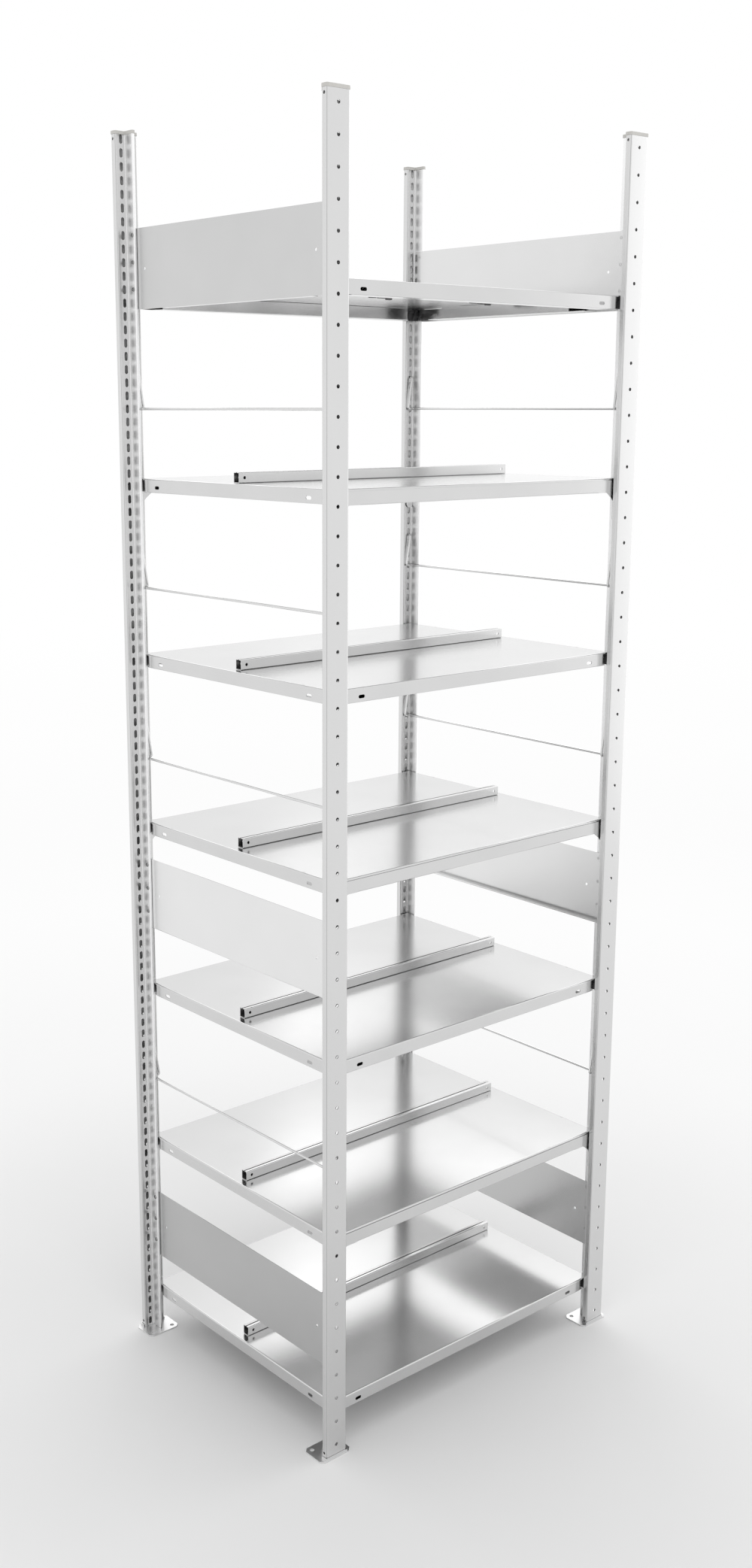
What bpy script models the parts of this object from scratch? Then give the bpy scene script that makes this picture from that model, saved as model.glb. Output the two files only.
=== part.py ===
"""Office shelving unit: perforated steel posts, hung sheet shelves, side plates and wires.

Sizes are in metres and +Z is up. X runs along the shelves and Y from front to back.
The origin is on the floor, in the middle of the four foot plates.
"""

import math

import bmesh
import bpy
from mathutils import Vector

# Whole unit
POST_SPACING = 0.756  # between the middles of a left and a right post
FRAME_DEPTH = 0.636  # over the outer faces of a front and a back post
FIT_GAP = 0.0003  # left between two pieces that touch
OVERRUN = 0.002  # how far a cutter passes the face that it opens
ROOT_SHARE = 0.5  # how deep a stud or a bracket is rooted in its wall

# Post: a closed tube of T section, with its flange outside
FLANGE_WIDTH = 0.050
FLANGE_DEPTH = 0.014
WEB_WIDTH = 0.006
WEB_REACH = 0.039  # from the outer face to the end of the web
POST_WALL = 0.00125
FRONT_ROUND = 0.003
BACK_ROUND = 0.003
ROOT_FILLET = 0.0012
WEB_ROUND_SHARE = 1 / 3  # of the web's width
POST_ROUND_STEPS = 2

# Holes of the post: a row in the outer face, one at each end of its sides, and slots behind
FACE_HOLE = 0.007
FACE_HOLE_SLOTS = 2  # slots to each face hole
SIDE_HOLE = 0.0055
SLOT_COUNT = 100
SLOT_PITCH = 0.025
SLOT_START = 0.0125  # from the foot and the head of the post
SLOT_LENGTH = 0.017
SLOT_WIDTH = 0.007
SLOT_OFFSET = 0.012  # from the middle of the post to the slots

# Post cap
CAP_WALL = 0.0009
CAP_TOP = 0.002
CAP_SKIRT = 0.004

# Foot plate
FOOT_THICK = 0.0025
FOOT_SIDE = 0.013  # beyond each end of the flange
FOOT_FRONT = 0.0005  # in front of the tab
FOOT_BACK = 0.016  # behind the web
FOOT_CHAMFER = 0.008
ANCHOR_HOLE = 0.009
ANCHOR_SIDE = 0.013  # from the plate's side edges
ANCHOR_BACK = 0.011  # from the plate's back edge
FOOT_TAB_THICK = 0.002
FOOT_TAB_RISE = 0.0045
FOOT_TAB_CLEARANCE = 0.0005
FOOT_SIDE_TAB_SHARE = 0.8  # of the flange's depth

# Shelf: a tray of folded sheet, open below, with a channel all round its edge
SHELF_COUNT = 7
SHELF_PITCH_SLOTS = 14
SHELF_FIRST_SLOT = 3
SHELF_SLOT_RISE = 0.0155  # from the middle of its slot up to the shelf's top
SHELF_END_GAP = 0.0005  # between a side plate and the shelf's end
SHELF_FACE_GAP = 0.004  # between the flange and the shelf's long face
SHELF_SHEET = 0.001
SHELF_HEIGHT = 0.0265
SHELF_FOLD_ROUND = 0.003
SHELF_FOLD_STEPS = 1
SHELF_TAIL = 0.002  # the fold's overlap with the top sheet
SHELF_CORNER_GAP = 0.025  # open part of each face, beside the corner
SHELF_LIP = 0.030
SHELF_RETURN_GAP = 0.0025  # from the top of a lip's return up to the sheet
SHELF_LIP_GAP = 0.017  # from one lip's end to the next lip's inner edge
SHELF_HOLE_LENGTH = 0.015
SHELF_HOLE_HEIGHT = 0.0064
SHELF_HOLE_END = 0.067
SHELF_HOLE_DROP_SHARE = 0.62  # of the shelf's height

# Middle rail on each shelf
RAIL_END_GAP = 0.019  # from the shelf's end to the rail's end
RAIL_WIDTH = 0.0165
RAIL_HEIGHT = 0.0197
RAIL_WALL = 0.0012
RAIL_LIP_SHARE = 0.3  # of the rail's width
RAIL_HOLE = 0.006
RAIL_HOLE_END = 0.013

# Clip under each corner of a shelf that has no beam
CLIP_REACH_SHARE = 0.6  # of the shelf's corner gap
CLIP_HEIGHT_SHARE = 0.9  # of the shelf's height
CLIP_NOSE_SHARE = 0.3  # of the shelf's height

# Beam in front of and behind every second shelf
BEAM_THICK = 0.0015
BEAM_TOP_DROP = 0.004  # below the shelf's top
BEAM_FACE_GAP = 0.0005  # between the beam and the shelf's long face
BEAM_LEDGE = 0.015
BEAM_LEDGE_END = 0.040
BEAM_GUSSET = 0.016
BEAM_GUSSET_FALL = 0.012
BEAM_END_MARGIN = 0.011  # below the lowest slot that the beam uses
BEAM_END_CLEARANCE = 0.0005
BEAM_TIP_SHARE = 0.23  # chamfer of the end strip, in shares of its width
BEAM_HOOK_CLEARANCE = 0.0005
BEAM_HOOK_SLACK = 0.005  # free height over the hook in its slot
BEAM_HOOK_LIP = 0.004
BEAM_HOOK_THICK = 0.0025
BEAM_HOOK_SLOTS = (1, 2)  # slots below the shelf's own slot

# Side plate, bolted to the webs of a front and a back post
PLATE_SLOTS = (8, 38, 88)  # slots level with the lowest bolts
PLATE_LIPPED = (False, True, False)
PLATE_THICK = 0.0012
PLATE_TOP_MARGIN = 0.0125  # above the highest bolt
PLATE_END_GAP = 0.001  # from the plane of a shelf's long face to the plate's end
PLATE_CHAMFER = 0.003
PLATE_HOLE = 0.0055
PLATE_HOLE_END = 0.0625
PLATE_LIP = 0.011
PLATE_RETURN = 0.005
BOLT_ROW_SHARE = 0.74  # of the web, from the flange to the bolts
BOLT_FIRST_RISE = 0.0375  # above the plate's lower edge
BOLT_PITCH_SLOTS = 2
BOLT_COUNT = 3
BOLT_SHANK = 0.0055
BOLT_HEAD = 0.0086
BOLT_HEAD_RISE = 0.0022
BOLT_SHANK_RISE = 0.0002  # past the plate
BOLT_HOLE_CLEARANCE = 0.0005

# Side wire, hooked in the slots of a front and a back post
WIRE_SLOTS = (23, 51, 65, 79)
WIRE_CLEARANCE = 0.0011  # between the wire and the slot's sides
WIRE_RISE_SLOTS = 3
WIRE_FACE_GAP = 0.0038  # between the flange and the wire's rise
WIRE_WEB_GAP = 0.0002  # between the web and the wire's run
WIRE_LEAN = 0.0105  # from the slots to the foot of the rise, away from the web
WIRE_BEND = 0.004
WIRE_BEND_STEPS = 2
WIRE_HOOK_DROP = 0.007
WIRE_HOOK_BEND = 0.003

# Places that follow from the sizes above
HALF_SPACING = POST_SPACING / 2
HALF_DEPTH = FRAME_DEPTH / 2
POST_BOTTOM = FOOT_THICK + FIT_GAP
POST_HEIGHT = SLOT_START * 2 + SLOT_PITCH * (SLOT_COUNT - 1)
PLATE_REACH = FIT_GAP + PLATE_THICK  # from the web to the plate's inner face
PLATE_HEIGHT = BOLT_FIRST_RISE + BOLT_PITCH_SLOTS * SLOT_PITCH * (BOLT_COUNT - 1) + PLATE_TOP_MARGIN
SHELF_HALF_LENGTH = HALF_SPACING - WEB_WIDTH / 2 - PLATE_REACH - SHELF_END_GAP
SHELF_FACE = FLANGE_DEPTH + SHELF_FACE_GAP  # from the posts' outer faces
SHELF_HALF_DEPTH = HALF_DEPTH - SHELF_FACE
PLATE_END = SHELF_FACE + PLATE_END_GAP
BOLT_ROW = FLANGE_DEPTH + (WEB_REACH - FLANGE_DEPTH) * BOLT_ROW_SHARE
SHELF_RETURN_TOP = -SHELF_SHEET - SHELF_RETURN_GAP
WIRE_DIAMETER = SLOT_WIDTH - WIRE_CLEARANCE * 2
WIRE_SIDE = SLOT_OFFSET - WEB_WIDTH / 2 - WIRE_WEB_GAP - WIRE_DIAMETER / 2


def clear_scene():
    for thing in list(bpy.data.objects):
        bpy.data.objects.remove(thing, do_unlink=True)


def metal(name, colour, roughness):
    return paint(name, colour, roughness, 1.0)


def paint(name, colour, roughness, metallic):
    material = bpy.data.materials.new(name)
    material.use_nodes = True
    shader = material.node_tree.nodes["Principled BSDF"]
    shader.inputs["Base Color"].default_value = (*colour, 1.0)
    shader.inputs["Roughness"].default_value = roughness
    shader.inputs["Metallic"].default_value = metallic
    material.diffuse_color = (*colour, 1.0)
    return material


# Outlines and solids


def fillet(before, corner, after, radius, steps):
    """Points of an arc that rounds one corner of an outline."""
    if radius <= 0:
        return [corner]
    back = (before - corner).normalized()
    ahead = (after - corner).normalized()
    half = back.angle(ahead) / 2
    reach = radius / math.tan(half)
    centre = corner + (back + ahead).normalized() * (radius / math.sin(half))
    first = corner + back * reach - centre
    last = corner + ahead * reach - centre
    turn = first.angle(last)
    points = []
    for step in range(steps + 1):
        share = step / steps
        mix = first * math.sin((1 - share) * turn) + last * math.sin(share * turn)
        points.append(centre + mix / math.sin(turn))
    return points


def rounded(corners, steps):
    """Closed outline through corners that are given as x, y, radius."""
    spots = [Vector(corner[:2]) for corner in corners]
    outline = []
    for i, corner in enumerate(corners):
        after = spots[(i + 1) % len(spots)]
        outline += fillet(spots[i - 1], spots[i], after, corner[2], steps)
    return outline


def regular(across, sides, centre):
    """Polygon with the same area as a circle of that diameter."""
    step = 2 * math.pi / sides
    radius = across / 2 * math.sqrt(step / math.sin(step))
    return [
        Vector(centre) + radius * Vector((math.cos(step * (i + 0.5)), math.sin(step * (i + 0.5))))
        for i in range(sides)
    ]


def oblong(length, height, centre):
    """Slot outline with chamfered ends, long in its first direction."""
    x, y = length / 2, height / 2
    cut = height * 0.3
    corners = [(x - cut, -y), (x, cut - y), (x, y - cut), (x - cut, y)]
    corners += [(-px, -py) for px, py in corners]
    return [Vector(centre) + Vector(corner) for corner in corners]


def rectangle(x0, y0, x1, y1):
    return [Vector((x0, y0)), Vector((x1, y0)), Vector((x1, y1)), Vector((x0, y1))]


def prism(bm, outline, low, high, along):
    """Closed solid: the outline pushed from low to high along X, Y or Z.

    The outline's two directions are the other two axes, in the order X, Y, Z.
    """

    def spot(point, reach):
        place = list(point)
        place.insert("XYZ".index(along), reach)
        return bm.verts.new(place)

    start = [spot(point, low) for point in outline]
    end = [spot(point, high) for point in outline]
    bm.faces.new(start)
    bm.faces.new(end)
    for i, vert in enumerate(start):
        j = (i + 1) % len(start)
        bm.faces.new((vert, start[j], end[j], end[i]))


def solid(name, bm, mirrored=False):
    """Object of the bmesh, with its faces pointing out."""
    if mirrored:
        for vert in bm.verts:
            vert.co.x = -vert.co.x
    bmesh.ops.recalc_face_normals(bm, faces=bm.faces)
    mesh = bpy.data.meshes.new(name)
    bm.to_mesh(mesh)
    bm.free()
    thing = bpy.data.objects.new(name, mesh)
    bpy.context.scene.collection.objects.link(thing)
    return thing


def tool(name, bm, mirrored=False):
    """Object that only shapes another one."""
    thing = solid(name, bm, mirrored)
    thing.hide_render = True
    thing.display_type = "WIRE"
    return thing


def combine(thing, other, operation):
    change = thing.modifiers.new(other.name, "BOOLEAN")
    change.operation = operation
    change.solver = "EXACT"
    change.object = other


def finished(thing, tools):
    """Mesh of the object with its modifiers applied; the object and its tools go."""
    shown = thing.evaluated_get(bpy.context.evaluated_depsgraph_get())
    mesh = bpy.data.meshes.new_from_object(shown)
    mesh.name = thing.name
    for used in [thing, *tools]:
        bpy.data.objects.remove(used, do_unlink=True)
    return mesh


def place(name, data, material, location, turn=0, parent=None):
    """Object of shared data, turned about Z and placed in the unit."""
    if not data.materials:
        data.materials.append(material)
    thing = bpy.data.objects.new(name, data)
    bpy.context.scene.collection.objects.link(thing)
    thing.rotation_euler = (0, 0, turn)
    thing.location = location
    if parent:
        thing.parent = parent
        thing.location = Vector(location) - parent.location
    return thing


# Heights


def slot_height(index):
    """Middle of a slot, above the foot of the post."""
    return SLOT_START + index * SLOT_PITCH


def shelf_slot(index):
    return SHELF_FIRST_SLOT + index * SHELF_PITCH_SLOTS


def shelf_top(index):
    """Top of a shelf, above the foot of the post."""
    return slot_height(shelf_slot(index)) + SHELF_SLOT_RISE


def has_beam(index):
    return index % 2 == 1


# Posts


def post_outline(grow):
    """T section of the post, with every face moved out by grow."""
    half = FLANGE_WIDTH / 2 + grow
    web = WEB_WIDTH / 2 + grow
    back = FLANGE_DEPTH + grow
    end = WEB_REACH + grow
    front_round = max(FRONT_ROUND + grow, 0)
    back_round = max(BACK_ROUND + grow, 0)
    root_fillet = max(ROOT_FILLET - grow, 0)
    web_round = max(WEB_WIDTH * WEB_ROUND_SHARE + grow, 0)
    corners = [
        (-half, -grow, front_round),
        (half, -grow, front_round),
        (half, back, back_round),
        (web, back, root_fillet),
        (web, end, web_round),
        (-web, end, web_round),
        (-web, back, root_fillet),
        (-half, back, back_round),
    ]
    return rounded(corners, POST_ROUND_STEPS)


def post_cavity():
    """T section inside the post's walls, with plain corners."""
    half = FLANGE_WIDTH / 2 - POST_WALL
    web = WEB_WIDTH / 2 - POST_WALL
    back = FLANGE_DEPTH - POST_WALL
    end = WEB_REACH - POST_WALL
    return [
        Vector((-half, POST_WALL)),
        Vector((half, POST_WALL)),
        Vector((half, back)),
        Vector((web, back)),
        Vector((web, end)),
        Vector((-web, end)),
        Vector((-web, back)),
        Vector((-half, back)),
    ]


def used_slots():
    """Slots that a beam's hook or a wire's end goes through."""
    used = [index + WIRE_RISE_SLOTS for index in WIRE_SLOTS]
    for index in range(SHELF_COUNT):
        if has_beam(index):
            used += [shelf_slot(index) - below for below in BEAM_HOOK_SLOTS]
    return used


def bolt_heights():
    return [
        slot_height(first + row * BOLT_PITCH_SLOTS)
        for first in PLATE_SLOTS
        for row in range(BOLT_COUNT)
    ]


def clip_outline(top):
    """Side view of a shelf clip, in depth and height."""
    root = FLANGE_DEPTH - POST_WALL * ROOT_SHARE
    nose = SHELF_FACE + SHELF_CORNER_GAP * CLIP_REACH_SHARE
    low = top - SHELF_HEIGHT * CLIP_HEIGHT_SHARE
    edge = SHELF_HEIGHT * CLIP_NOSE_SHARE
    return [
        Vector((root, low)),
        Vector((FLANGE_DEPTH + edge, low)),
        Vector((nose, top - edge)),
        Vector((nose, top)),
        Vector((root, top)),
    ]


def post_mesh(name, mirrored):
    """Post with its holes, shelf clips and plate bolts on its +X side, or on -X if mirrored."""
    bm = bmesh.new()
    prism(bm, post_outline(0), 0, POST_HEIGHT, "Z")
    body = solid(name, bm, mirrored)

    bm = bmesh.new()
    prism(bm, post_cavity(), -OVERRUN, POST_HEIGHT + OVERRUN, "Z")
    hollow = tool(name + "_hollow", bm, mirrored)
    combine(body, hollow, "DIFFERENCE")

    bm = bmesh.new()
    for index in range(0, SLOT_COUNT, FACE_HOLE_SLOTS):
        height = slot_height(index) + SLOT_PITCH / 2
        prism(bm, regular(FACE_HOLE, 6, (0, height)), -OVERRUN, POST_WALL + OVERRUN, "Y")
    side_inside = FLANGE_WIDTH / 2 - POST_WALL - OVERRUN
    for height in (slot_height(0), slot_height(SLOT_COUNT - 1)):
        for side in (-1, 1):
            hole = regular(SIDE_HOLE, 6, (FLANGE_DEPTH / 2, height))
            prism(bm, hole, side * side_inside, side * (FLANGE_WIDTH / 2 + OVERRUN), "X")
    wall_inside = FLANGE_DEPTH - POST_WALL - OVERRUN
    for index in used_slots():
        low = slot_height(index) - SLOT_LENGTH / 2
        left = SLOT_OFFSET - SLOT_WIDTH / 2
        window = rectangle(left, low, left + SLOT_WIDTH, low + SLOT_LENGTH)
        prism(bm, window, wall_inside, FLANGE_DEPTH + OVERRUN, "Y")
    holes = tool(name + "_holes", bm, mirrored)
    combine(body, holes, "DIFFERENCE")

    bm = bmesh.new()
    web_face = WEB_WIDTH / 2
    root = web_face - POST_WALL * ROOT_SHARE
    for height in bolt_heights():
        spot = (BOLT_ROW, height)
        prism(bm, regular(BOLT_HEAD, 6, spot), -web_face - BOLT_HEAD_RISE, -root, "X")
        shank_end = web_face + PLATE_REACH + BOLT_SHANK_RISE
        prism(bm, regular(BOLT_SHANK, 6, spot), root, shank_end, "X")
    for index in range(SHELF_COUNT):
        if not has_beam(index):
            top = shelf_top(index) - SHELF_SHEET - FIT_GAP
            start = web_face + PLATE_REACH + FIT_GAP
            prism(bm, clip_outline(top), start, SLOT_OFFSET * 2 - start, "X")
    studs = tool(name + "_studs", bm, mirrored)
    combine(body, studs, "UNION")
    return finished(body, [hollow, holes, studs])


def cap_mesh():
    """Push-on cap that follows the post's section."""
    bm = bmesh.new()
    prism(bm, post_outline(FIT_GAP + CAP_WALL), -CAP_SKIRT, FIT_GAP + CAP_TOP, "Z")
    body = solid("post_cap", bm)
    bm = bmesh.new()
    prism(bm, post_outline(FIT_GAP), -CAP_SKIRT - OVERRUN, FIT_GAP, "Z")
    pocket = tool("post_cap_pocket", bm)
    combine(body, pocket, "DIFFERENCE")
    return finished(body, [pocket])


def foot_mesh():
    """Foot plate with its anchor holes and the low tabs that hold the post."""
    inner = FLANGE_WIDTH / 2 + FOOT_TAB_CLEARANCE
    outer = inner + FOOT_TAB_THICK
    near = -FOOT_TAB_CLEARANCE
    front = near - FOOT_TAB_THICK
    half = FLANGE_WIDTH / 2 + FOOT_SIDE
    low, high = front - FOOT_FRONT, WEB_REACH + FOOT_BACK
    cut = FOOT_CHAMFER
    outline = []
    for x, y, sx, sy in (
        (-half, low, 1, 1),
        (half, low, -1, 1),
        (half, high, -1, -1),
        (-half, high, 1, -1),
    ):
        ends = [Vector((x, y + sy * cut)), Vector((x + sx * cut, y))]
        outline += ends if sx == sy else reversed(ends)
    bm = bmesh.new()
    prism(bm, outline, 0, FOOT_THICK, "Z")
    body = solid("foot_plate", bm)

    bm = bmesh.new()
    for side in (-1, 1):
        spot = (side * (half - ANCHOR_SIDE), high - ANCHOR_BACK)
        prism(bm, regular(ANCHOR_HOLE, 8, spot), -OVERRUN, FOOT_THICK + OVERRUN, "Z")
    holes = tool("foot_plate_holes", bm)
    combine(body, holes, "DIFFERENCE")

    # The three tabs are one strip that bends round the flange
    back = FLANGE_DEPTH * FOOT_SIDE_TAB_SHARE
    strip = [
        Vector((-outer, front)),
        Vector((outer, front)),
        Vector((outer, back)),
        Vector((inner, back)),
        Vector((inner, near)),
        Vector((-inner, near)),
        Vector((-inner, back)),
        Vector((-outer, back)),
    ]
    bm = bmesh.new()
    prism(bm, strip, FOOT_THICK * ROOT_SHARE, FOOT_THICK + FOOT_TAB_RISE, "Z")
    tabs = tool("foot_plate_tabs", bm)
    combine(body, tabs, "UNION")
    return finished(body, [holes, tabs])


# Shelves


def sheet_outline():
    """Top sheet: full at its corners, and ending at the folds between them."""
    corner = []
    a, b = SHELF_HALF_LENGTH, SHELF_HALF_DEPTH
    gap, fold = SHELF_CORNER_GAP, SHELF_FOLD_ROUND
    corner += [(a - fold, b - gap), (a, b - gap), (a, b), (a - gap, b), (a - gap, b - fold)]
    outline = []
    for sx, sy in ((1, 1), (-1, 1), (-1, -1), (1, -1)):
        points = [Vector((sx * x, sy * y)) for x, y in corner]
        outline += points if sx == sy else reversed(points)
    return outline


def fold_outline(face):
    """Section of a folded face, from the top sheet down to its lip and return, at +face."""
    low = -SHELF_HEIGHT
    sheet = SHELF_SHEET
    tail = face - SHELF_FOLD_ROUND - SHELF_TAIL
    inner = face - SHELF_LIP
    corners = [
        (tail, 0, 0),
        (tail, -sheet, 0),
        (face - sheet, -sheet, SHELF_FOLD_ROUND - sheet),
        (face - sheet, low + sheet, 0),
        (inner + sheet, low + sheet, 0),
        (inner + sheet, SHELF_RETURN_TOP, 0),
        (inner, SHELF_RETURN_TOP, 0),
        (inner, low, 0),
        (face, low, sheet),
        (face, 0, SHELF_FOLD_ROUND),
    ]
    return rounded(corners, SHELF_FOLD_STEPS)


def flipped(outline):
    return [Vector((-point.x, point.y)) for point in outline]


def shelf_mesh():
    """Tray with its top at zero height: sheet, four folded faces and their lips."""
    bm = bmesh.new()
    prism(bm, sheet_outline(), -SHELF_SHEET, 0, "Z")
    body = solid("shelf", bm)

    a, b = SHELF_HALF_LENGTH, SHELF_HALF_DEPTH
    run_x, run_y = a - SHELF_CORNER_GAP, b - SHELF_CORNER_GAP
    folds = []
    for face, run, along in ((b, run_x, "X"), (a, run_y, "Y")):
        bm = bmesh.new()
        for shape in (fold_outline(face), flipped(fold_outline(face))):
            prism(bm, shape, -run, run, along)
        fold = tool("shelf_folds_" + along, bm)
        combine(body, fold, "UNION")
        folds.append(fold)

    # Each lip stops with its return before its face does, and each face has two oblong holes
    bm = bmesh.new()
    lip_in, lip_out = SHELF_LIP + OVERRUN, SHELF_SHEET
    lip_end = SHELF_LIP + SHELF_LIP_GAP
    drop = SHELF_HEIGHT * SHELF_HOLE_DROP_SHARE
    low, high = -SHELF_HEIGHT - OVERRUN, SHELF_RETURN_TOP + FIT_GAP
    for sx in (-1, 1):
        for sy in (-1, 1):
            far, near = a - SHELF_CORNER_GAP + OVERRUN, a - lip_end
            edge, inside = b - lip_out, b - lip_in
            window = rectangle(sx * near, sy * inside, sx * far, sy * edge)
            prism(bm, window, low, high, "Z")
            far, near = b - SHELF_CORNER_GAP + OVERRUN, b - lip_end
            edge, inside = a - lip_out, a - lip_in
            window = rectangle(sx * inside, sy * near, sx * edge, sy * far)
            prism(bm, window, low, high, "Z")
            spot = (sx * (a - SHELF_HOLE_END), -drop)
            hole = oblong(SHELF_HOLE_LENGTH, SHELF_HOLE_HEIGHT, spot)
            inner, outer = b - SHELF_SHEET - OVERRUN, b + OVERRUN
            prism(bm, hole, sy * inner, sy * outer, "Y")
            spot = (sy * (b - SHELF_HOLE_END), -drop)
            hole = oblong(SHELF_HOLE_LENGTH, SHELF_HOLE_HEIGHT, spot)
            inner, outer = a - SHELF_SHEET - OVERRUN, a + OVERRUN
            prism(bm, hole, sx * inner, sx * outer, "X")
    cuts = tool("shelf_cuts", bm)
    combine(body, cuts, "DIFFERENCE")
    return finished(body, [*folds, cuts])


def rail_mesh():
    """Channel with its foot at zero height and its mouth between two lips on top."""
    half, wall = RAIL_WIDTH / 2, RAIL_WALL
    high, lip = RAIL_HEIGHT, RAIL_WIDTH * RAIL_LIP_SHARE
    outline = [
        (-half, 0),
        (half, 0),
        (half, high),
        (half - lip, high),
        (half - lip, high - wall),
        (half - wall, high - wall),
        (half - wall, wall),
        (wall - half, wall),
        (wall - half, high - wall),
        (lip - half, high - wall),
        (lip - half, high),
        (-half, high),
    ]
    end = SHELF_HALF_LENGTH - RAIL_END_GAP
    bm = bmesh.new()
    prism(bm, [Vector(point) for point in outline], -end, end, "X")
    body = solid("rail", bm)
    bm = bmesh.new()
    for sx in (-1, 1):
        spot = (sx * (end - RAIL_HOLE_END), high / 2)
        for sy in (-1, 1):
            prism(bm, regular(RAIL_HOLE, 6, spot), sy * (half - wall * 2), sy * (half + OVERRUN), "Y")
    holes = tool("rail_holes", bm)
    combine(body, holes, "DIFFERENCE")
    return finished(body, [holes])


def beam_mesh():
    """Beam at the front, with its shelf's top at zero height and y from the posts' outer faces."""
    face = SHELF_FACE - BEAM_FACE_GAP
    end = HALF_SPACING - WEB_WIDTH / 2 - BEAM_END_CLEARANCE
    strip = HALF_SPACING - FLANGE_WIDTH / 2
    ledge_top = -SHELF_HEIGHT - FIT_GAP
    low = ledge_top - BEAM_THICK
    chamfer = (end - strip) * BEAM_TIP_SHARE
    lowest = -SHELF_SLOT_RISE - max(BEAM_HOOK_SLOTS) * SLOT_PITCH - SLOT_LENGTH / 2
    tip = lowest - BEAM_END_MARGIN
    half_view = [
        (end, -BEAM_TOP_DROP),
        (end, tip + chamfer),
        (end - chamfer, tip),
        (strip + chamfer, tip),
        (strip, tip + chamfer),
        (strip, low - BEAM_GUSSET_FALL),
        (strip - BEAM_GUSSET, low),
    ]
    outline = [Vector(point) for point in half_view]
    outline += [Vector((-x, z)) for x, z in reversed(half_view)]
    bm = bmesh.new()
    prism(bm, outline, face - BEAM_THICK, face, "Y")
    body = solid("beam", bm)

    bm = bmesh.new()
    ledge_end = strip - BEAM_LEDGE_END
    inner = face - BEAM_THICK * ROOT_SHARE
    prism(bm, rectangle(inner, low, inner + BEAM_LEDGE, ledge_top), -ledge_end, ledge_end, "X")
    for below in BEAM_HOOK_SLOTS:
        middle = -SHELF_SLOT_RISE - below * SLOT_PITCH
        top = middle + SLOT_LENGTH / 2 - BEAM_HOOK_SLACK
        foot = middle - SLOT_LENGTH / 2 + FIT_GAP
        wall_inside = FLANGE_DEPTH - POST_WALL - FIT_GAP
        lip_inside = wall_inside - BEAM_HOOK_THICK
        hook = [
            Vector((inner, top)),
            Vector((lip_inside, top)),
            Vector((lip_inside, foot - BEAM_HOOK_LIP)),
            Vector((wall_inside, foot - BEAM_HOOK_LIP)),
            Vector((wall_inside, foot)),
            Vector((inner, foot)),
        ]
        for side in (-1, 1):
            slot_x = side * (HALF_SPACING - SLOT_OFFSET)
            half = SLOT_WIDTH / 2 - BEAM_HOOK_CLEARANCE
            prism(bm, hook, slot_x - half, slot_x + half, "X")
    parts = tool("beam_parts", bm)
    combine(body, parts, "UNION")
    return finished(body, [parts])


# Sides


def plate_mesh(name, lipped):
    """Left side plate, with its lower edge at zero height and x from the left posts' middles."""
    near = WEB_WIDTH / 2 + FIT_GAP
    far = near + PLATE_THICK
    half, cut = HALF_DEPTH - PLATE_END, PLATE_CHAMFER
    outline = [(half - cut, 0), (half, cut), (half, PLATE_HEIGHT - cut), (half - cut, PLATE_HEIGHT)]
    outline += [(-y, z) for y, z in reversed(outline)]
    bm = bmesh.new()
    prism(bm, [Vector(point) for point in outline], near, far, "X")
    body = solid(name, bm)
    tools = []
    if lipped:
        # The lip turns in below the bay and ends in a low return
        end = near + PLATE_LIP
        lip = [
            (near + PLATE_THICK * ROOT_SHARE, 0),
            (end, 0),
            (end, PLATE_RETURN),
            (end - PLATE_THICK, PLATE_RETURN),
            (end - PLATE_THICK, PLATE_THICK),
            (near + PLATE_THICK * ROOT_SHARE, PLATE_THICK),
        ]
        bm = bmesh.new()
        prism(bm, [Vector(point) for point in lip], cut - half, half - cut, "Y")
        fold = tool(name + "_lip", bm)
        combine(body, fold, "UNION")
        tools.append(fold)
    bm = bmesh.new()
    low, high = near - OVERRUN, far + OVERRUN
    for side in (-1, 1):
        for row in range(BOLT_COUNT):
            height = BOLT_FIRST_RISE + row * BOLT_PITCH_SLOTS * SLOT_PITCH
            spot = (side * (HALF_DEPTH - BOLT_ROW), height)
            prism(bm, regular(BOLT_SHANK + BOLT_HOLE_CLEARANCE * 2, 6, spot), low, high, "X")
        spot = (side * (HALF_DEPTH - PLATE_HOLE_END), PLATE_HEIGHT / 2)
        prism(bm, regular(PLATE_HOLE, 6, spot), low, high, "X")
    holes = tool(name + "_holes", bm)
    combine(body, holes, "DIFFERENCE")
    return finished(body, [holes, *tools])


def wire_curve():
    """Round wire with its run at zero height, and x from its slots, away from the web.

    Each end bends in along the flange, rises at a slant to its slot and hooks into it.
    """
    rest = WIRE_RISE_SLOTS * SLOT_PITCH - SLOT_LENGTH / 2 + FIT_GAP + WIRE_DIAMETER / 2
    hook = FLANGE_DEPTH / 2 - HALF_DEPTH
    rise = FLANGE_DEPTH + WIRE_FACE_GAP + WIRE_DIAMETER / 2 - HALF_DEPTH
    corners = [
        (Vector((0, hook, rest - WIRE_HOOK_DROP)), 0),
        (Vector((0, hook, rest)), WIRE_HOOK_BEND),
        (Vector((0, rise, rest)), WIRE_BEND),
        (Vector((WIRE_LEAN, rise, 0)), WIRE_BEND),
        (Vector((-WIRE_SIDE, rise, 0)), WIRE_BEND),
        (Vector((-WIRE_SIDE, 0, 0)), 0),
    ]
    path = [corners[0][0]]
    for (before, _), (corner, radius), (after, _) in zip(corners, corners[1:], corners[2:]):
        path += fillet(before, corner, after, radius, WIRE_BEND_STEPS)
    path += [Vector((point.x, -point.y, point.z)) for point in reversed(path)]
    curve = bpy.data.curves.new("side_wire", "CURVE")
    curve.dimensions = "3D"
    curve.bevel_depth = WIRE_DIAMETER / 2
    curve.bevel_resolution = 1
    curve.use_fill_caps = True
    spline = curve.splines.new("POLY")
    spline.points.add(len(path) - 1)
    for point, spot in zip(spline.points, path):
        point.co = (*spot, 1)
    spline.use_smooth = True
    return curve


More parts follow.
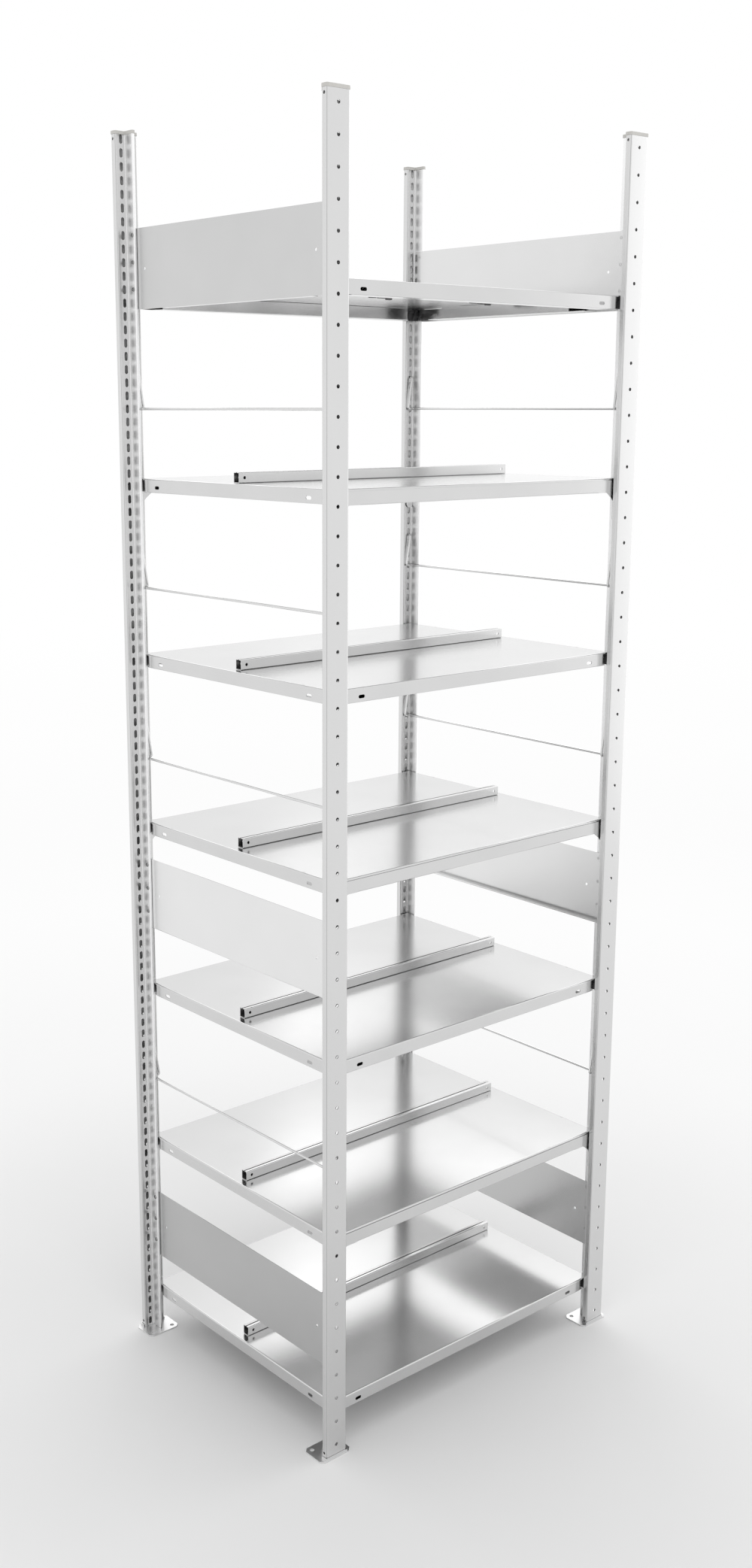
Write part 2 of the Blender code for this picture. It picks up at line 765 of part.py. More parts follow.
def main():
    clear_scene()
    steel = metal("galvanised_steel", (0.68, 0.69, 0.70), 0.34)
    sheet = metal("satin_steel_sheet", (0.74, 0.745, 0.75), 0.26)
    wire = metal("bright_steel_wire", (0.70, 0.71, 0.72), 0.30)
    plastic = paint("warm_grey_plastic", (0.58, 0.57, 0.54), 0.55, 0.0)

    half_turn = math.pi
    posts = {side: post_mesh("post", side) for side in (False, True)}
    cap, foot = cap_mesh(), foot_mesh()
    for row, y, turn in (("front", -HALF_DEPTH, 0), ("back", HALF_DEPTH, half_turn)):
        for column, sign in (("left", -1), ("right", 1)):
            spot = (sign * HALF_SPACING, y)
            mirrored = (column == "right") != (row == "back")
            place(f"post_{row}_{column}", posts[mirrored], steel, (*spot, POST_BOTTOM), turn)
            place(f"post_cap_{row}_{column}", cap, plastic, (*spot, POST_BOTTOM + POST_HEIGHT), turn)
            place(f"foot_plate_{row}_{column}", foot, steel, (*spot, 0), turn)

    tray, rail, beam = shelf_mesh(), rail_mesh(), beam_mesh()
    for index in range(SHELF_COUNT):
        top = POST_BOTTOM + shelf_top(index)
        seat = bpy.data.objects.new(f"shelf_{index + 1}_lift", None)
        bpy.context.scene.collection.objects.link(seat)
        seat.location = (0, 0, top)
        place(f"shelf_{index + 1}", tray, sheet, (0, 0, top), 0, seat)
        place(f"middle_rail_{index + 1}", rail, sheet, (0, 0, top + FIT_GAP), 0, seat)
        if has_beam(index):
            place(f"beam_front_{index + 1}", beam, sheet, (0, -HALF_DEPTH, top), 0)
            place(f"beam_back_{index + 1}", beam, sheet, (0, HALF_DEPTH, top), half_turn)

    plates = {lipped: plate_mesh("side_plate", lipped) for lipped in set(PLATE_LIPPED)}
    strand = wire_curve()
    for column, sign, turn in (("left", -1, 0), ("right", 1, half_turn)):
        middle = sign * HALF_SPACING
        for number, (slot, lipped) in enumerate(zip(PLATE_SLOTS, PLATE_LIPPED), 1):
            low = POST_BOTTOM + slot_height(slot) - BOLT_FIRST_RISE
            place(f"side_plate_{column}_{number}", plates[lipped], sheet, (middle, 0, low), turn)
        for number, slot in enumerate(WIRE_SLOTS, 1):
            spot = (middle - sign * SLOT_OFFSET, 0, POST_BOTTOM + slot_height(slot))
            place(f"side_wire_{column}_{number}", strand, wire, spot, turn)


main()
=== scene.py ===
import math

import bmesh
import bpy
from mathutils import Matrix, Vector

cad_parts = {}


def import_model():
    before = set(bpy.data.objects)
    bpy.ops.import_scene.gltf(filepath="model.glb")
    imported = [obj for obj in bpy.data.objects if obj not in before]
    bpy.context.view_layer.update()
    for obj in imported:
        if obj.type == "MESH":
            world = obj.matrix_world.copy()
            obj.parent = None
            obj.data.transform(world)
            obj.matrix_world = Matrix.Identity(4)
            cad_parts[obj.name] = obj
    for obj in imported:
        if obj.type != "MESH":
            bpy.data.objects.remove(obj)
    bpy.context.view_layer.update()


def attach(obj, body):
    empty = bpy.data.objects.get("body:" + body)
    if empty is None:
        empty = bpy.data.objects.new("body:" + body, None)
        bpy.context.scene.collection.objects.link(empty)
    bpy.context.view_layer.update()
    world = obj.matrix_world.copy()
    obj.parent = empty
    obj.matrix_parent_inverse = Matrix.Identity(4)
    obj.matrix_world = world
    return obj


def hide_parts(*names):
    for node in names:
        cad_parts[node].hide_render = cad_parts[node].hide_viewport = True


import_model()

# Sizes in metres, mostly the same as in the part's source
FIT_GAP = 0.0003  # between pieces that fit together
CUT_OVER = 0.002  # how far a cutter reaches past what it cuts
CUT_INTO = 0.003  # how far a cutter reaches into a hollow
TIGHT_BEND = 0.0002  # the smallest radius of a bend
NEAR = 0.0001  # slack where faces are told apart by their place

# Posts
POST_SPACING = 0.756  # between the posts' middles
FRAME_DEPTH = 0.636  # over the posts' outer faces
POST_HEIGHT = 2.5
POST_WALL = 0.00125
FLANGE_WIDTH = 0.050
FLANGE_DEPTH = 0.014
FLANGE_CORNER = 0.003
WEB_WIDTH = 0.006
WEB_REACH = 0.039
WEB_CORNER = 0.002
WEB_ROOT = 0.0012
CAVITY_CORNER = 0.0018
FACE_HOLE = 0.007
FACE_CUT = 0.001  # how far a face hole's cutter reaches past the wall
SIDE_HOLE = 0.0055
SLOT_COUNT = 100
SLOT_PITCH = 0.025
SLOT_START = 0.0125
SLOT_OFFSET = 0.012
SLOT_LENGTH = 0.017
SLOT_WIDTH = 0.007
# The flange's bends between these normals get a darker zinc: painted shade
SHADED_BEND_NORMALS = (0.57, 0.82)  # how far the normals of the flange's bends point to a side
JOINT_REACH = 0.0305  # from the outer face to the web's pressed joints
JOINT_RING = (
    (0, 0.0001), (0.0016, 0.00012), (0.0022, 0.0003), (0.0027, 0.0003), (0.0032, 0.00005),
    (0.0033, -0.0002), (0, -0.0002),
)  # radius and rise from the web

# Caps: height above the post's head and growth past its outline
CAP_PROFILE = (
    (-0.004, 0.0008), (-0.0037, 0.00115), (-0.0034, 0.0012), (0.0013, 0.0012),
    (0.0017, 0.00108), (0.00205, 0.0008), (0.00225, 0.0004), (0.0023, -0.0002),
)
CAP_POCKET = 0.006

# Foot plates
FOOT_THICK = 0.0025
FOOT_SIDE = 0.013  # beside the flange
FOOT_FRONT = 0.003
FOOT_BACK = 0.016  # behind the web
FOOT_CHAMFER = 0.008
FOOT_CORNER = 0.001
FOOT_EDGE = 0.0003
FOOT_HOLE = 0.009
FOOT_HOLE_SIDE = 0.013
FOOT_HOLE_BACK = 0.011
FOOT_TAB_GAP = 0.0005
FOOT_TAB_THICK = 0.002
FOOT_TAB_RISE = 0.0045
FOOT_TAB_SHARE = 0.8  # of the flange's depth

# Shelves
SHELF_COUNT = 7
SHELF_PITCH_SLOTS = 14
SHELF_FIRST_SLOT = 3
SHELF_SLOT_RISE = 0.0155
SHELF_END_GAP = 0.0005
SHELF_FACE_GAP = 0.004
SHELF_SHEET = 0.001
SHELF_HEIGHT = 0.0265
SHELF_FOLD = 0.003
SHELF_TAIL = 0.002  # overlap of the fold with the top sheet
SHELF_FOOT_BEND = 0.0014
SHELF_INNER_BEND = 0.0004
SHELF_GAP = 0.0185  # open part of each face, beside the corner
SHELF_LIP = 0.030
SHELF_RETURN_TOP = -0.0016
SHELF_DRAW = 0.0013  # how far the foot of a face is pulled in at its end
SHELF_DRAW_LENGTH = 0.012
SHELF_DRAW_STEPS = ((-1, 1), (-0.75, 0.86), (-0.5, 0.5), (-0.25, 0.14), (0, 0))
SHELF_HOLE_LENGTH = 0.015
SHELF_HOLE_HEIGHT = 0.0064
SHELF_HOLE_END = 0.067
SHELF_HOLE_DROP_SHARE = 0.62  # of the shelf's height
SHELF_HOLE_CUT = 0.004
WINDOW_LONG, WINDOW_SIDE = 0.017, 0.045  # open part of the lips of long faces and of side faces
WINDOW_RIM = 0.0016  # from the face to the window
WINDOW_SLANT_IN, WINDOW_SLANT_OUT = 0.002, 0.004
RETURN_OPENING = 0.043  # open part of a side's return, past the window in its lip
RETURN_LAP = 0.001
RETURN_CUT = 0.0034
RETURN_FOOT = 0.0012  # left standing over the lip's lower face
MARK_LENGTH = 0.0056
MARK_WIDTH = 0.0024
MARK_DEPTH = 0.0003
MARK_END = 0.0052
MARK_PLACE = 0.212

# Middle rails, and the tongues that hold them: start, end and depth from each place
RAIL_WIDTH = 0.0165
RAIL_HEIGHT = 0.0197
RAIL_WALL = 0.0012
RAIL_BEND = 0.0006
RAIL_LIP_SHARE = 0.42  # of the rail's width
RAIL_END_GAP = 0.019
RAIL_HOLE = 0.006
RAIL_HOLE_END = 0.013
# Rail faces deeper than this share get a darker zinc as painted shade
RAIL_SKIN_SHARE = 0.8  # of the wall; deeper faces are inside
TONGUE_PLACES = (-0.2715, 0.0015, 0.2765)
TONGUE_STEPS = ((-0.0285, -0.0125, 0.0042), (-0.0065, 0.0155, 0.0042), (0.0155, 0.0285, 0.0066))
TONGUE_HALF = 0.003
TONGUE_GAP = 0.0001
TONGUE_ROUND = 0.001

# Clips
CLIP_HEIGHT_SHARE = 0.9  # of the shelf's height
CLIP_REACH = 0.015  # past the plane of the shelf's long face
CLIP_CORNER = 0.002
CLIP_EDGE = 0.0008
CLIP_GAP = 0.0001  # between the flange and a clip
CLIP_LAP = 0.0003  # in front of the shelf's plane where there is a beam
CLIP_SHOULDER = 0.0085
CLIP_NECK = 0.0045
CLIP_NECK_SHARE = 0.62  # of the clip's width
CLIP_NECK_ROUND = 0.001
CLIP_TOP_ROUND = 0.0006
CLIP_SLOPE_LENGTH = 0.007
CLIP_SLOPE_RISE = 0.011
CLIP_NOSE_HALF = 0.003
CLIP_NOSE_TOP = 0.0082
CLIP_NOSE_LOW = 0.0222
CLIP_NOSE_ROUND = 0.001
CLIP_NOSE_INTO = 0.001  # past the inner side of the slot's wall
CLIP_NOSE_LAP = 0.0005

# Beams
BEAM_THICK = 0.0015
BEAM_TOP_DROP = 0.004
BEAM_FACE_GAP = 0.0005
BEAM_END_CLEARANCE = 0.0005
BEAM_HIDDEN = 0.0045  # how far the strip's lower part stays behind the flange
BEAM_GUSSET = 0.014
BEAM_GUSSET_FALL = 0.011
BEAM_STEP_FALL = 0.016
BEAM_TIP_SHARE = 0.23  # chamfer of the end strip, in shares of its width
BEAM_END_MARGIN = 0.011
BEAM_LEDGE = 0.015
BEAM_LEDGE_END = 0.040
BEAM_LEDGE_RISE = 0.0045
BEAM_LEDGE_LAP = 0.004  # height at which the sheet is cut back behind the ledge's bend
BEAM_BEND = 0.0008
BEAM_TIP_ROUND = 0.002
BEAM_STEP_ROUND = 0.001
BEAM_GUSSET_ROUND = 0.005
BEAM_TOP_ROUND = 0.0008
BEAM_LEDGE_ROUND = 0.0006
BEAM_NOTCH_ROUND = 0.0004
BEAM_HOOK_SLOTS = (1, 2)  # slots below the shelf's own slot
BEAM_HOOK_SLACK = 0.005
BEAM_HOOK_THICK = 0.0025
BEAM_HOOK_LIP = 0.004
BEAM_HOOK_HALF = 0.003
BEAM_HOOK_ROUND = 0.002
BEAM_HOOK_TIP_ROUND, BEAM_HOOK_BACK_ROUND = 0.0008, 0.0004

# Side plates and their bolts
PLATE_SLOTS = (8, 38, 88)
PLATE_LIPPED = (False, True, False)
PLATE_THICK = 0.0012
PLATE_HEIGHT = 0.150
PLATE_END_GAP = 0.001
PLATE_CORNER = 0.003
PLATE_HOLE = 0.0055
PLATE_HOLE_END = 0.0625
PLATE_LIP = 0.013
PLATE_LIP_RISE = 0.0032  # height of the lip's root, behind the plate's foot
PLATE_LIP_LAP = 0.0004
PLATE_RETURN = 0.0038
PLATE_BEND = 0.0007
BOLT_RISE = 0.0375
BOLT_PITCH_SLOTS = 2
BOLT_COUNT = 3
BOLT_ROW = 0.0325
BOLT_HOLE = 0.0063
BOLT_SINK = 0.0001  # of the head into the web
BOLT_HEAD = (
    (0, 0.0022), (0.0011, 0.00215), (0.0017, 0.0019), (0.0020, 0.0009), (0.0025, 0.0009), (0.0028, 0.0019),
    (0.0034, 0.0017), (0.0040, 0.0010), (0.0043, 0.0003), (0.0043, -BOLT_SINK), (0, -BOLT_SINK),
)  # radius and rise from the web
SHANK_RADIUS = 0.00272
SHANK_TIP_RADIUS = 0.0025
SHANK_TIP = 0.0002
SHANK_ROOT = 0.0004

# Side wires
WIRE_SLOTS = (23, 51, 65, 79)
WIRE_DIAMETER = 0.0048
WIRE_SIDES = 14
WIRE_RISE_SLOTS = 3
WIRE_FACE_GAP = 0.0038
WIRE_WEB_GAP = 0.0002
WIRE_LEAN = 0.0105
WIRE_BEND = 0.004
WIRE_HOOK_DROP = 0.007
WIRE_HOOK_BEND = 0.003

# Places that follow from the sizes above
HALF_SPACING, HALF_DEPTH = POST_SPACING / 2, FRAME_DEPTH / 2
POST_BOTTOM = FOOT_THICK + FIT_GAP
CAVITY_SIDE, CAVITY_BACK = FLANGE_WIDTH / 2 - POST_WALL, FLANGE_DEPTH - POST_WALL
PLATE_REACH = FIT_GAP + PLATE_THICK
SHELF_HALF_LENGTH = HALF_SPACING - WEB_WIDTH / 2 - PLATE_REACH - SHELF_END_GAP
SHELF_FACE = FLANGE_DEPTH + SHELF_FACE_GAP
SHELF_HALF_DEPTH = HALF_DEPTH - SHELF_FACE
PLATE_END = SHELF_FACE + PLATE_END_GAP
ROWS = (("front", -HALF_DEPTH, 0), ("back", HALF_DEPTH, math.pi))

# Looks; a scale below 1 draws a pattern out along its axis
GRAIN, FINE_GRAIN, PORES = 900, 1200, 1400
EVEN, UPRIGHT, ALONG_WIRE = (1, 1, 1), (1, 1, 0.2), (1, 0.15, 1)
RELIEF_DEPTH = 0.0002
WORLD_DIFFUSE = 0.92  # strength of the soft light; the view and the reflections see 1
FLOOR_HALF = 40
FLOOR_FADE = 12.0  # distance at which the floor is plain white
FLOOR_STEPS = ((0.075, 0.0), (0.15, 0.40), (0.28, 0.76), (0.6, 0.95))  # share of that distance, and of white

# Camera, fitted to the photograph: focal length and optical axis in its pixels
PHOTO_WIDTH, PHOTO_HEIGHT = 1000, 2085
FOCAL_PIXELS = 2194.8
AXIS_X, AXIS_Y = 431.9, 1026.9
SENSOR = 36
CAMERA_SPOT = (-2.2293, -2.4818, 1.9944)
CAMERA_HEADING, CAMERA_FALL = 40.096, 12.485  # degrees from +Y to +X, and below level


# Outlines


def fillet(before, corner, after, radius, steps):
    """Points of the arc that rounds one corner of a path, on a plane or in space."""
    if radius <= 0:
        return [corner.copy()]
    back = (before - corner).normalized()
    ahead = (after - corner).normalized()
    half = back.angle(ahead) / 2
    centre = corner + (back + ahead).normalized() * (radius / math.sin(half))
    reach = radius / math.tan(half)
    first, last = corner + back * reach - centre, corner + ahead * reach - centre
    turn = first.angle(last)
    points = []
    for step in range(steps + 1):
        share = step / steps
        mix = first * math.sin((1 - share) * turn) + last * math.sin(share * turn)
        points.append(centre + mix / math.sin(turn))
    return points


def rounded(corners, steps=4):
    """Outline through corners given as x and y, or as x, y and the radius of the corner's arc."""
    spots = [Vector(corner[:2]) for corner in corners]
    outline = []
    for i, corner in enumerate(corners):
        radius = corner[2] if len(corner) > 2 else 0
        outline += fillet(spots[i - 1], spots[i], spots[(i + 1) % len(spots)], radius, steps)
    return outline


def ribbon(path, thickness, bend, steps=4):
    """Outline of a bent sheet: both sides of a path, with round bends."""
    path = [Vector(point) for point in path]
    sides = []
    for sign in (1, -1):
        line = []
        for i, spot in enumerate(path):
            ahead = (path[i + 1] - spot).normalized() if i + 1 < len(path) else None
            back = (spot - path[i - 1]).normalized() if i else None
            one, two = back or ahead, ahead or back
            left = (Vector((-one.y, one.x)) + Vector((-two.y, two.x))).normalized()
            reach = thickness / 2 / left.dot(Vector((-one.y, one.x)))
            line.append(spot + left * reach * sign)
        points = [line[0]]
        for i in range(1, len(line) - 1):
            one, two = path[i] - path[i - 1], path[i + 1] - path[i]
            inner = (one.x * two.y - one.y * two.x) * sign > 0
            radius = bend if inner else bend + thickness
            points += fillet(line[i - 1], line[i], line[i + 1], radius, steps)
        points.append(line[-1])
        sides.append(points)
    return sides[0] + sides[1][::-1]


def circle(across, sides, centre):
    step = 2 * math.pi / sides
    return [
        Vector(centre) + across / 2 * Vector((math.cos(step * i), math.sin(step * i)))
        for i in range(sides)
    ]


def obround(length, height, centre, steps=6, upright=False):
    """Slot outline with half-round ends, long in its first direction or its second."""
    radius, run = height / 2, (length - height) / 2
    points = []
    for start, shift in ((-90, run), (90, -run)):
        for step in range(steps + 1):
            turn = math.radians(start + 180 * step / steps)
            points.append(Vector((shift + radius * math.cos(turn), radius * math.sin(turn))))
    if upright:
        points = [Vector((point.y, point.x)) for point in points]
    return [Vector(centre) + point for point in points]


# Solids


def spot_on(point, reach, along):
    """Place in space of a point on a plane that lies at a reach along the axis named."""
    place = list(point)
    place.insert("XYZ".index(along), reach)
    return place


def skin(bm, rows):
    """Faces between rings of vertices; a ring of one vertex closes an end."""
    for below, above in zip(rows, rows[1:]):
        sides = max(len(below), len(above))
        for i in range(sides):
            j = (i + 1) % sides
            corners = [below[i % len(below)], below[j % len(below)]]
            corners += [above[j % len(above)], above[i % len(above)]]
            bm.faces.new(list(dict.fromkeys(corners)))


def capped_skin(bm, rows):
    bm.faces.new(rows[0])
    bm.faces.new(rows[-1])
    skin(bm, rows)


def layers(bm, rings, along):
    """Closed solid through (ring, reach) pairs, all rings with the same number of points."""
    capped_skin(bm, [[bm.verts.new(spot_on(p, reach, along)) for p in ring] for ring, reach in rings])


def prism(bm, outline, low, high, along):
    layers(bm, [(outline, low), (outline, high)], along)


def lathe(bm, profile, spot, sides, along):
    """Round solid from (radius, reach) pairs; a radius of zero closes an end."""
    rows = []
    for radius, reach in profile:
        ring = circle(radius * 2, sides, spot) if radius else [spot]
        rows.append([bm.verts.new(spot_on(p, reach, along)) for p in ring])
    skin(bm, rows)


def solid(name, bm, mirrored=False):
    """Object of a finished bmesh, mirrored in X or not."""
    if mirrored:
        for vert in bm.verts:
            vert.co.x = -vert.co.x
    bmesh.ops.recalc_face_normals(bm, faces=bm.faces)
    mesh = bpy.data.meshes.new(name)
    bm.to_mesh(mesh)
    bm.free()
    thing = bpy.data.objects.new(name, mesh)
    bpy.context.scene.collection.objects.link(thing)
    return thing


def bare_mesh(name, bm, mirrored=False):
    """Mesh of a finished bmesh, without an object."""
    thing = solid(name, bm, mirrored)
    mesh = thing.data
    bpy.data.objects.remove(thing, do_unlink=True)
    return mesh


def shaped(body, *steps):
    """Mesh of a body after Booleans with (object, operation) pairs; the objects go."""
    for other, operation in steps:
        change = body.modifiers.new(other.name, "BOOLEAN")
        change.operation = operation
        change.solver = "EXACT"
        change.object = other
    mesh = bpy.data.meshes.new_from_object(body.evaluated_get(bpy.context.evaluated_depsgraph_get()))
    mesh.name = body.name
    for thing in (body, *(other for other, _ in steps)):
        bpy.data.objects.remove(thing, do_unlink=True)
    return mesh


def smooth(mesh, angle=32):
    """Smooth shading up to an angle in degrees; sharper edges stay sharp."""
    mesh.polygons.foreach_set("use_smooth", [True] * len(mesh.polygons))
    mesh.set_sharp_from_angle(angle=math.radians(angle))
    return mesh


def coat(mesh, materials, choose):
    """Mesh with several materials; choose(centre, normal) gives each face its number."""
    for material in materials:
        mesh.materials.append(material)
    for face in mesh.polygons:
        face.material_index = choose(face.center, face.normal)
    return mesh


def piece(name, mesh, material, body, location, turn=0, node=None):
    """Piece of shared mesh data in its place, riding on its body."""
    if not mesh.materials:
        mesh.materials.append(material)
    thing = bpy.data.objects.new(name, mesh)
    bpy.context.scene.collection.objects.link(thing)
    thing.location = location
    thing.rotation_euler = (0, 0, turn)
    even = thing.modifiers.new("even", "WEIGHTED_NORMAL")
    even.keep_sharp = True
    bpy.context.view_layer.update()
    if node:
        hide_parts(node)
    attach(thing, body)


# Materials


def new_material(name):
    material = bpy.data.materials.new(name)
    material.use_nodes = True
    tree = material.node_tree
    return material, tree.nodes, tree.links, tree.nodes["Principled BSDF"]


def noise(nodes, links, coords, scale, detail=3.0, stretch=EVEN):
    mapping = nodes.new("ShaderNodeMapping")
    mapping.inputs["Scale"].default_value = stretch
    links.new(coords, mapping.inputs["Vector"])
    made = nodes.new("ShaderNodeTexNoise")
    made.inputs["Scale"].default_value = scale
    made.inputs["Detail"].default_value = detail
    links.new(mapping.outputs["Vector"], made.inputs["Vector"])
    return made.outputs["Fac"]


def tones(nodes, links, value, shader, ends):
    """Base colour between two (position, colour) ends, by a value."""
    ramp = nodes.new("ShaderNodeValToRGB")
    for element, (position, colour) in zip(ramp.color_ramp.elements, ends):
        element.position = position
        element.color = (*colour, 1)
    links.new(value, ramp.inputs["Fac"])
    links.new(ramp.outputs["Color"], shader.inputs["Base Color"])


def uneven_gloss(nodes, links, value, shader, rough):
    """Roughness between two levels, by a noise whose values lie mostly from 0.3 to 0.7."""
    span = nodes.new("ShaderNodeMapRange")
    levels = {"From Min": 0.3, "From Max": 0.7, "To Min": rough[0], "To Max": rough[1]}
    for socket, level in levels.items():
        span.inputs[socket].default_value = level
    links.new(value, span.inputs["Value"])
    links.new(span.outputs["Result"], shader.inputs["Roughness"])


def relief(nodes, links, height, shader, strength):
    made = nodes.new("ShaderNodeBump")
    made.inputs["Strength"].default_value = strength
    made.inputs["Distance"].default_value = RELIEF_DEPTH
    links.new(height, made.inputs["Height"])
    links.new(made.outputs["Normal"], shader.inputs["Normal"])


def blend(nodes, links, first, second, share):
    """Sum of two values, the first by its share and the second by the rest."""
    rest = nodes.new("ShaderNodeMath")
    rest.operation = "MULTIPLY"
    rest.inputs[1].default_value = 1 - share
    links.new(second, rest.inputs[0])
    total = nodes.new("ShaderNodeMath")
    total.operation = "MULTIPLY_ADD"
    total.inputs[1].default_value = share
    links.new(first, total.inputs[0])
    links.new(rest.outputs[0], total.inputs[2])
    return total.outputs[0]


def steel(name, dark, light, rough, grain=GRAIN, streak=EVEN, bump=0.02):
    """Zinc-coated steel: cloudy tone, fine grain in its gloss, and a faint rolled texture."""
    material, nodes, links, shader = new_material(name)
    coords = nodes.new("ShaderNodeTexCoord").outputs["Object"]
    cloud = noise(nodes, links, coords, 9.0, 4.0, streak)
    fleck = noise(nodes, links, coords, grain, 2.0, streak)
    gloss = noise(nodes, links, coords, grain * 0.6, 3.0, streak)
    cloudy = blend(nodes, links, fleck, cloud, 0.35)
    tones(nodes, links, cloudy, shader, ((0.34, (dark, dark, dark)), (0.66, (light, light, light))))
    shader.inputs["Metallic"].default_value = 1.0
    uneven_gloss(nodes, links, gloss, shader, rough)
    relief(nodes, links, fleck, shader, bump)
    return material


def plastic(name, dark, light, rough, grain=PORES, bump=0.15):
    """Moulded plastic with a fine eroded texture and slightly uneven tone."""
    material, nodes, links, shader = new_material(name)
    coords = nodes.new("ShaderNodeTexCoord").outputs["Object"]
    cloud = noise(nodes, links, coords, 60.0)
    pores = noise(nodes, links, coords, grain, 2.0)
    tones(nodes, links, cloud, shader, ((0.3, dark), (0.7, light)))
    uneven_gloss(nodes, links, pores, shader, rough)
    relief(nodes, links, pores, shader, bump)
    return material


post_steel = steel("post_zinc", 0.685, 0.715, (0.21, 0.25), streak=UPRIGHT)
# Copies of the post's zinc: darker on the flange's back and bends as painted shade, lighter on the web and
# in the cavity as painted light
back_painted_shade_steel = steel("back_zinc_painted_shade", 0.60, 0.64, (0.21, 0.25), streak=UPRIGHT)
web_painted_light_steel = steel("web_zinc_painted_light", 0.95, 0.98, (0.36, 0.40), streak=UPRIGHT)
cavity_painted_light_steel = steel("cavity_zinc_painted_light", 0.80, 0.86, (0.42, 0.50), streak=UPRIGHT)
bend_painted_shade_steel = steel("bend_zinc_painted_shade", 0.42, 0.48, (0.22, 0.26), streak=UPRIGHT)
# Darker zinc inside the rail's channel: painted shade
gutter_painted_shade_steel = steel("gutter_zinc_painted_shade", 0.26, 0.34, (0.30, 0.38))
# Lighter copy of the zinc for the foot plates: a painted sheen
foot_painted_sheen_steel = steel("foot_zinc_painted_sheen", 0.73, 0.79, (0.30, 0.36))
sheet_steel = steel("sheet_zinc", 0.655, 0.685, (0.17, 0.21))
# One copy of the plate zinc per plate, lighter or darker to paint the light and shade that plate gets
plate_lit_and_shaded_steels = {
    (column, n): steel(f"plate_zinc_{column}_{n}", tone - 0.012, tone + 0.012, (0.25, 0.27), bump=0.006)
    for column, lit_and_shaded_tones in (("left", (0.53, 0.81, 0.62)), ("right", (0.75, 0.83, 0.77)))
    for n, tone in enumerate(lit_and_shaded_tones, 1)
}
wire_steel = steel("wire_zinc", 0.66, 0.75, (0.17, 0.24), streak=ALONG_WIRE, bump=0.10)
# Bolt heads in a zinc much darker than the posts and plates
dark_bolt_steel = steel("dark_bolt_zinc", 0.28, 0.36, (0.20, 0.28), grain=FINE_GRAIN, bump=0.10)
cap_plastic = plastic("cap_plastic", (0.545, 0.535, 0.51), (0.60, 0.59, 0.565), (0.50, 0.62))
# Clips in near-black, darker than every other part
clip_near_black = plastic("clip_near_black", (0.007, 0.007, 0.008), (0.013, 0.013, 0.014), (0.42, 0.54))
# Dark grey for the rail's tongues: painted shade under the sheet
tongue_painted_shade = plastic("tongue_painted_shade", (0.10, 0.10, 0.10), (0.15, 0.15, 0.15), (0.42, 0.54))


# Heights


def slot_height(index):
    return SLOT_START + index * SLOT_PITCH


def shelf_top(index):
    return slot_height(SHELF_FIRST_SLOT + index * SHELF_PITCH_SLOTS) + SHELF_SLOT_RISE


def has_beam(index):
    return index % 2 == 1


def hole_heights():
    """Heights of the face holes and of the web's joints, one to every second slot."""
    return [slot_height(index) + SLOT_PITCH / 2 for index in range(0, SLOT_COUNT, 2)]


# Posts


def post_outline(grow, steps=5):
    """T section, grown all round."""
    half, web = FLANGE_WIDTH / 2 + grow, WEB_WIDTH / 2 + grow
    back, end = FLANGE_DEPTH + grow, WEB_REACH + grow
    corner, tip = max(FLANGE_CORNER + grow, TIGHT_BEND), max(WEB_CORNER + grow, TIGHT_BEND)
    root = max(WEB_ROOT - grow, TIGHT_BEND)
    return rounded([
        (-half, -grow, corner), (half, -grow, corner), (half, back, corner),
        (web, back, root), (web, end, tip), (-web, end, tip),
        (-web, back, root), (-half, back, corner),
    ], steps)


def post_hollow():
    """The flange's cavity, as a cutter."""
    side, back, corner = CAVITY_SIDE, CAVITY_BACK, CAVITY_CORNER
    bm = bmesh.new()
    inside = rounded([
        (-side, POST_WALL, corner), (side, POST_WALL, corner), (side, back, corner), (-side, back, corner),
    ], 3)
    prism(bm, inside, -CUT_OVER, POST_HEIGHT + CUT_OVER, "Z")
    return solid("post_hollow", bm)


def post_holes():
    """Face holes, side holes near both ends and two rows of slots, as one cutter."""
    bm = bmesh.new()
    for height in hole_heights():
        prism(bm, circle(FACE_HOLE, 18, (0, height)), -CUT_OVER, POST_WALL + FACE_CUT, "Y")
    for height in (slot_height(0), slot_height(SLOT_COUNT - 1)):
        for side in (-1, 1):
            ends = sorted((side * (FLANGE_WIDTH / 2 - CUT_INTO), side * (FLANGE_WIDTH / 2 + CUT_OVER)))
            prism(bm, circle(SIDE_HOLE, 16, (FLANGE_DEPTH / 2, height)), *ends, "X")
    for index in range(SLOT_COUNT):
        for side in (-1, 1):
            spot = (side * SLOT_OFFSET, slot_height(index))
            slot = obround(SLOT_LENGTH, SLOT_WIDTH, spot, 5, True)
            prism(bm, slot, FLANGE_DEPTH - CUT_INTO, FLANGE_DEPTH + CUT_OVER, "Y")
    return solid("post_holes", bm)


def post_coat(centre, normal):
    """Number of a face's steel: outside 0, web 1 and cavity 2 (lighter zinc, painted light), corner bends 3
    and back of the flange 4 (darker zinc, painted shade).
    """
    across, deep = abs(centre.x), centre.y
    if across < CAVITY_SIDE + NEAR and POST_WALL - NEAR < deep < CAVITY_BACK + NEAR:
        return 2
    if deep > FLANGE_DEPTH + NEAR * 2:
        return 1
    least, most = SHADED_BEND_NORMALS
    if across > FLANGE_WIDTH / 2 - FLANGE_CORNER and least < abs(normal.x) < most:
        return 3
    return 4 if normal.y > 0.9 else 0


def post_mesh():
    """Post of T section: a tube behind its face, with round holes in front and slot rows behind."""
    bm = bmesh.new()
    prism(bm, post_outline(0), 0, POST_HEIGHT, "Z")
    mesh = smooth(shaped(solid("post", bm), (post_hollow(), "DIFFERENCE"), (post_holes(), "DIFFERENCE")))
    return coat(mesh, (post_steel, web_painted_light_steel, cavity_painted_light_steel, bend_painted_shade_steel, back_painted_shade_steel), post_coat)


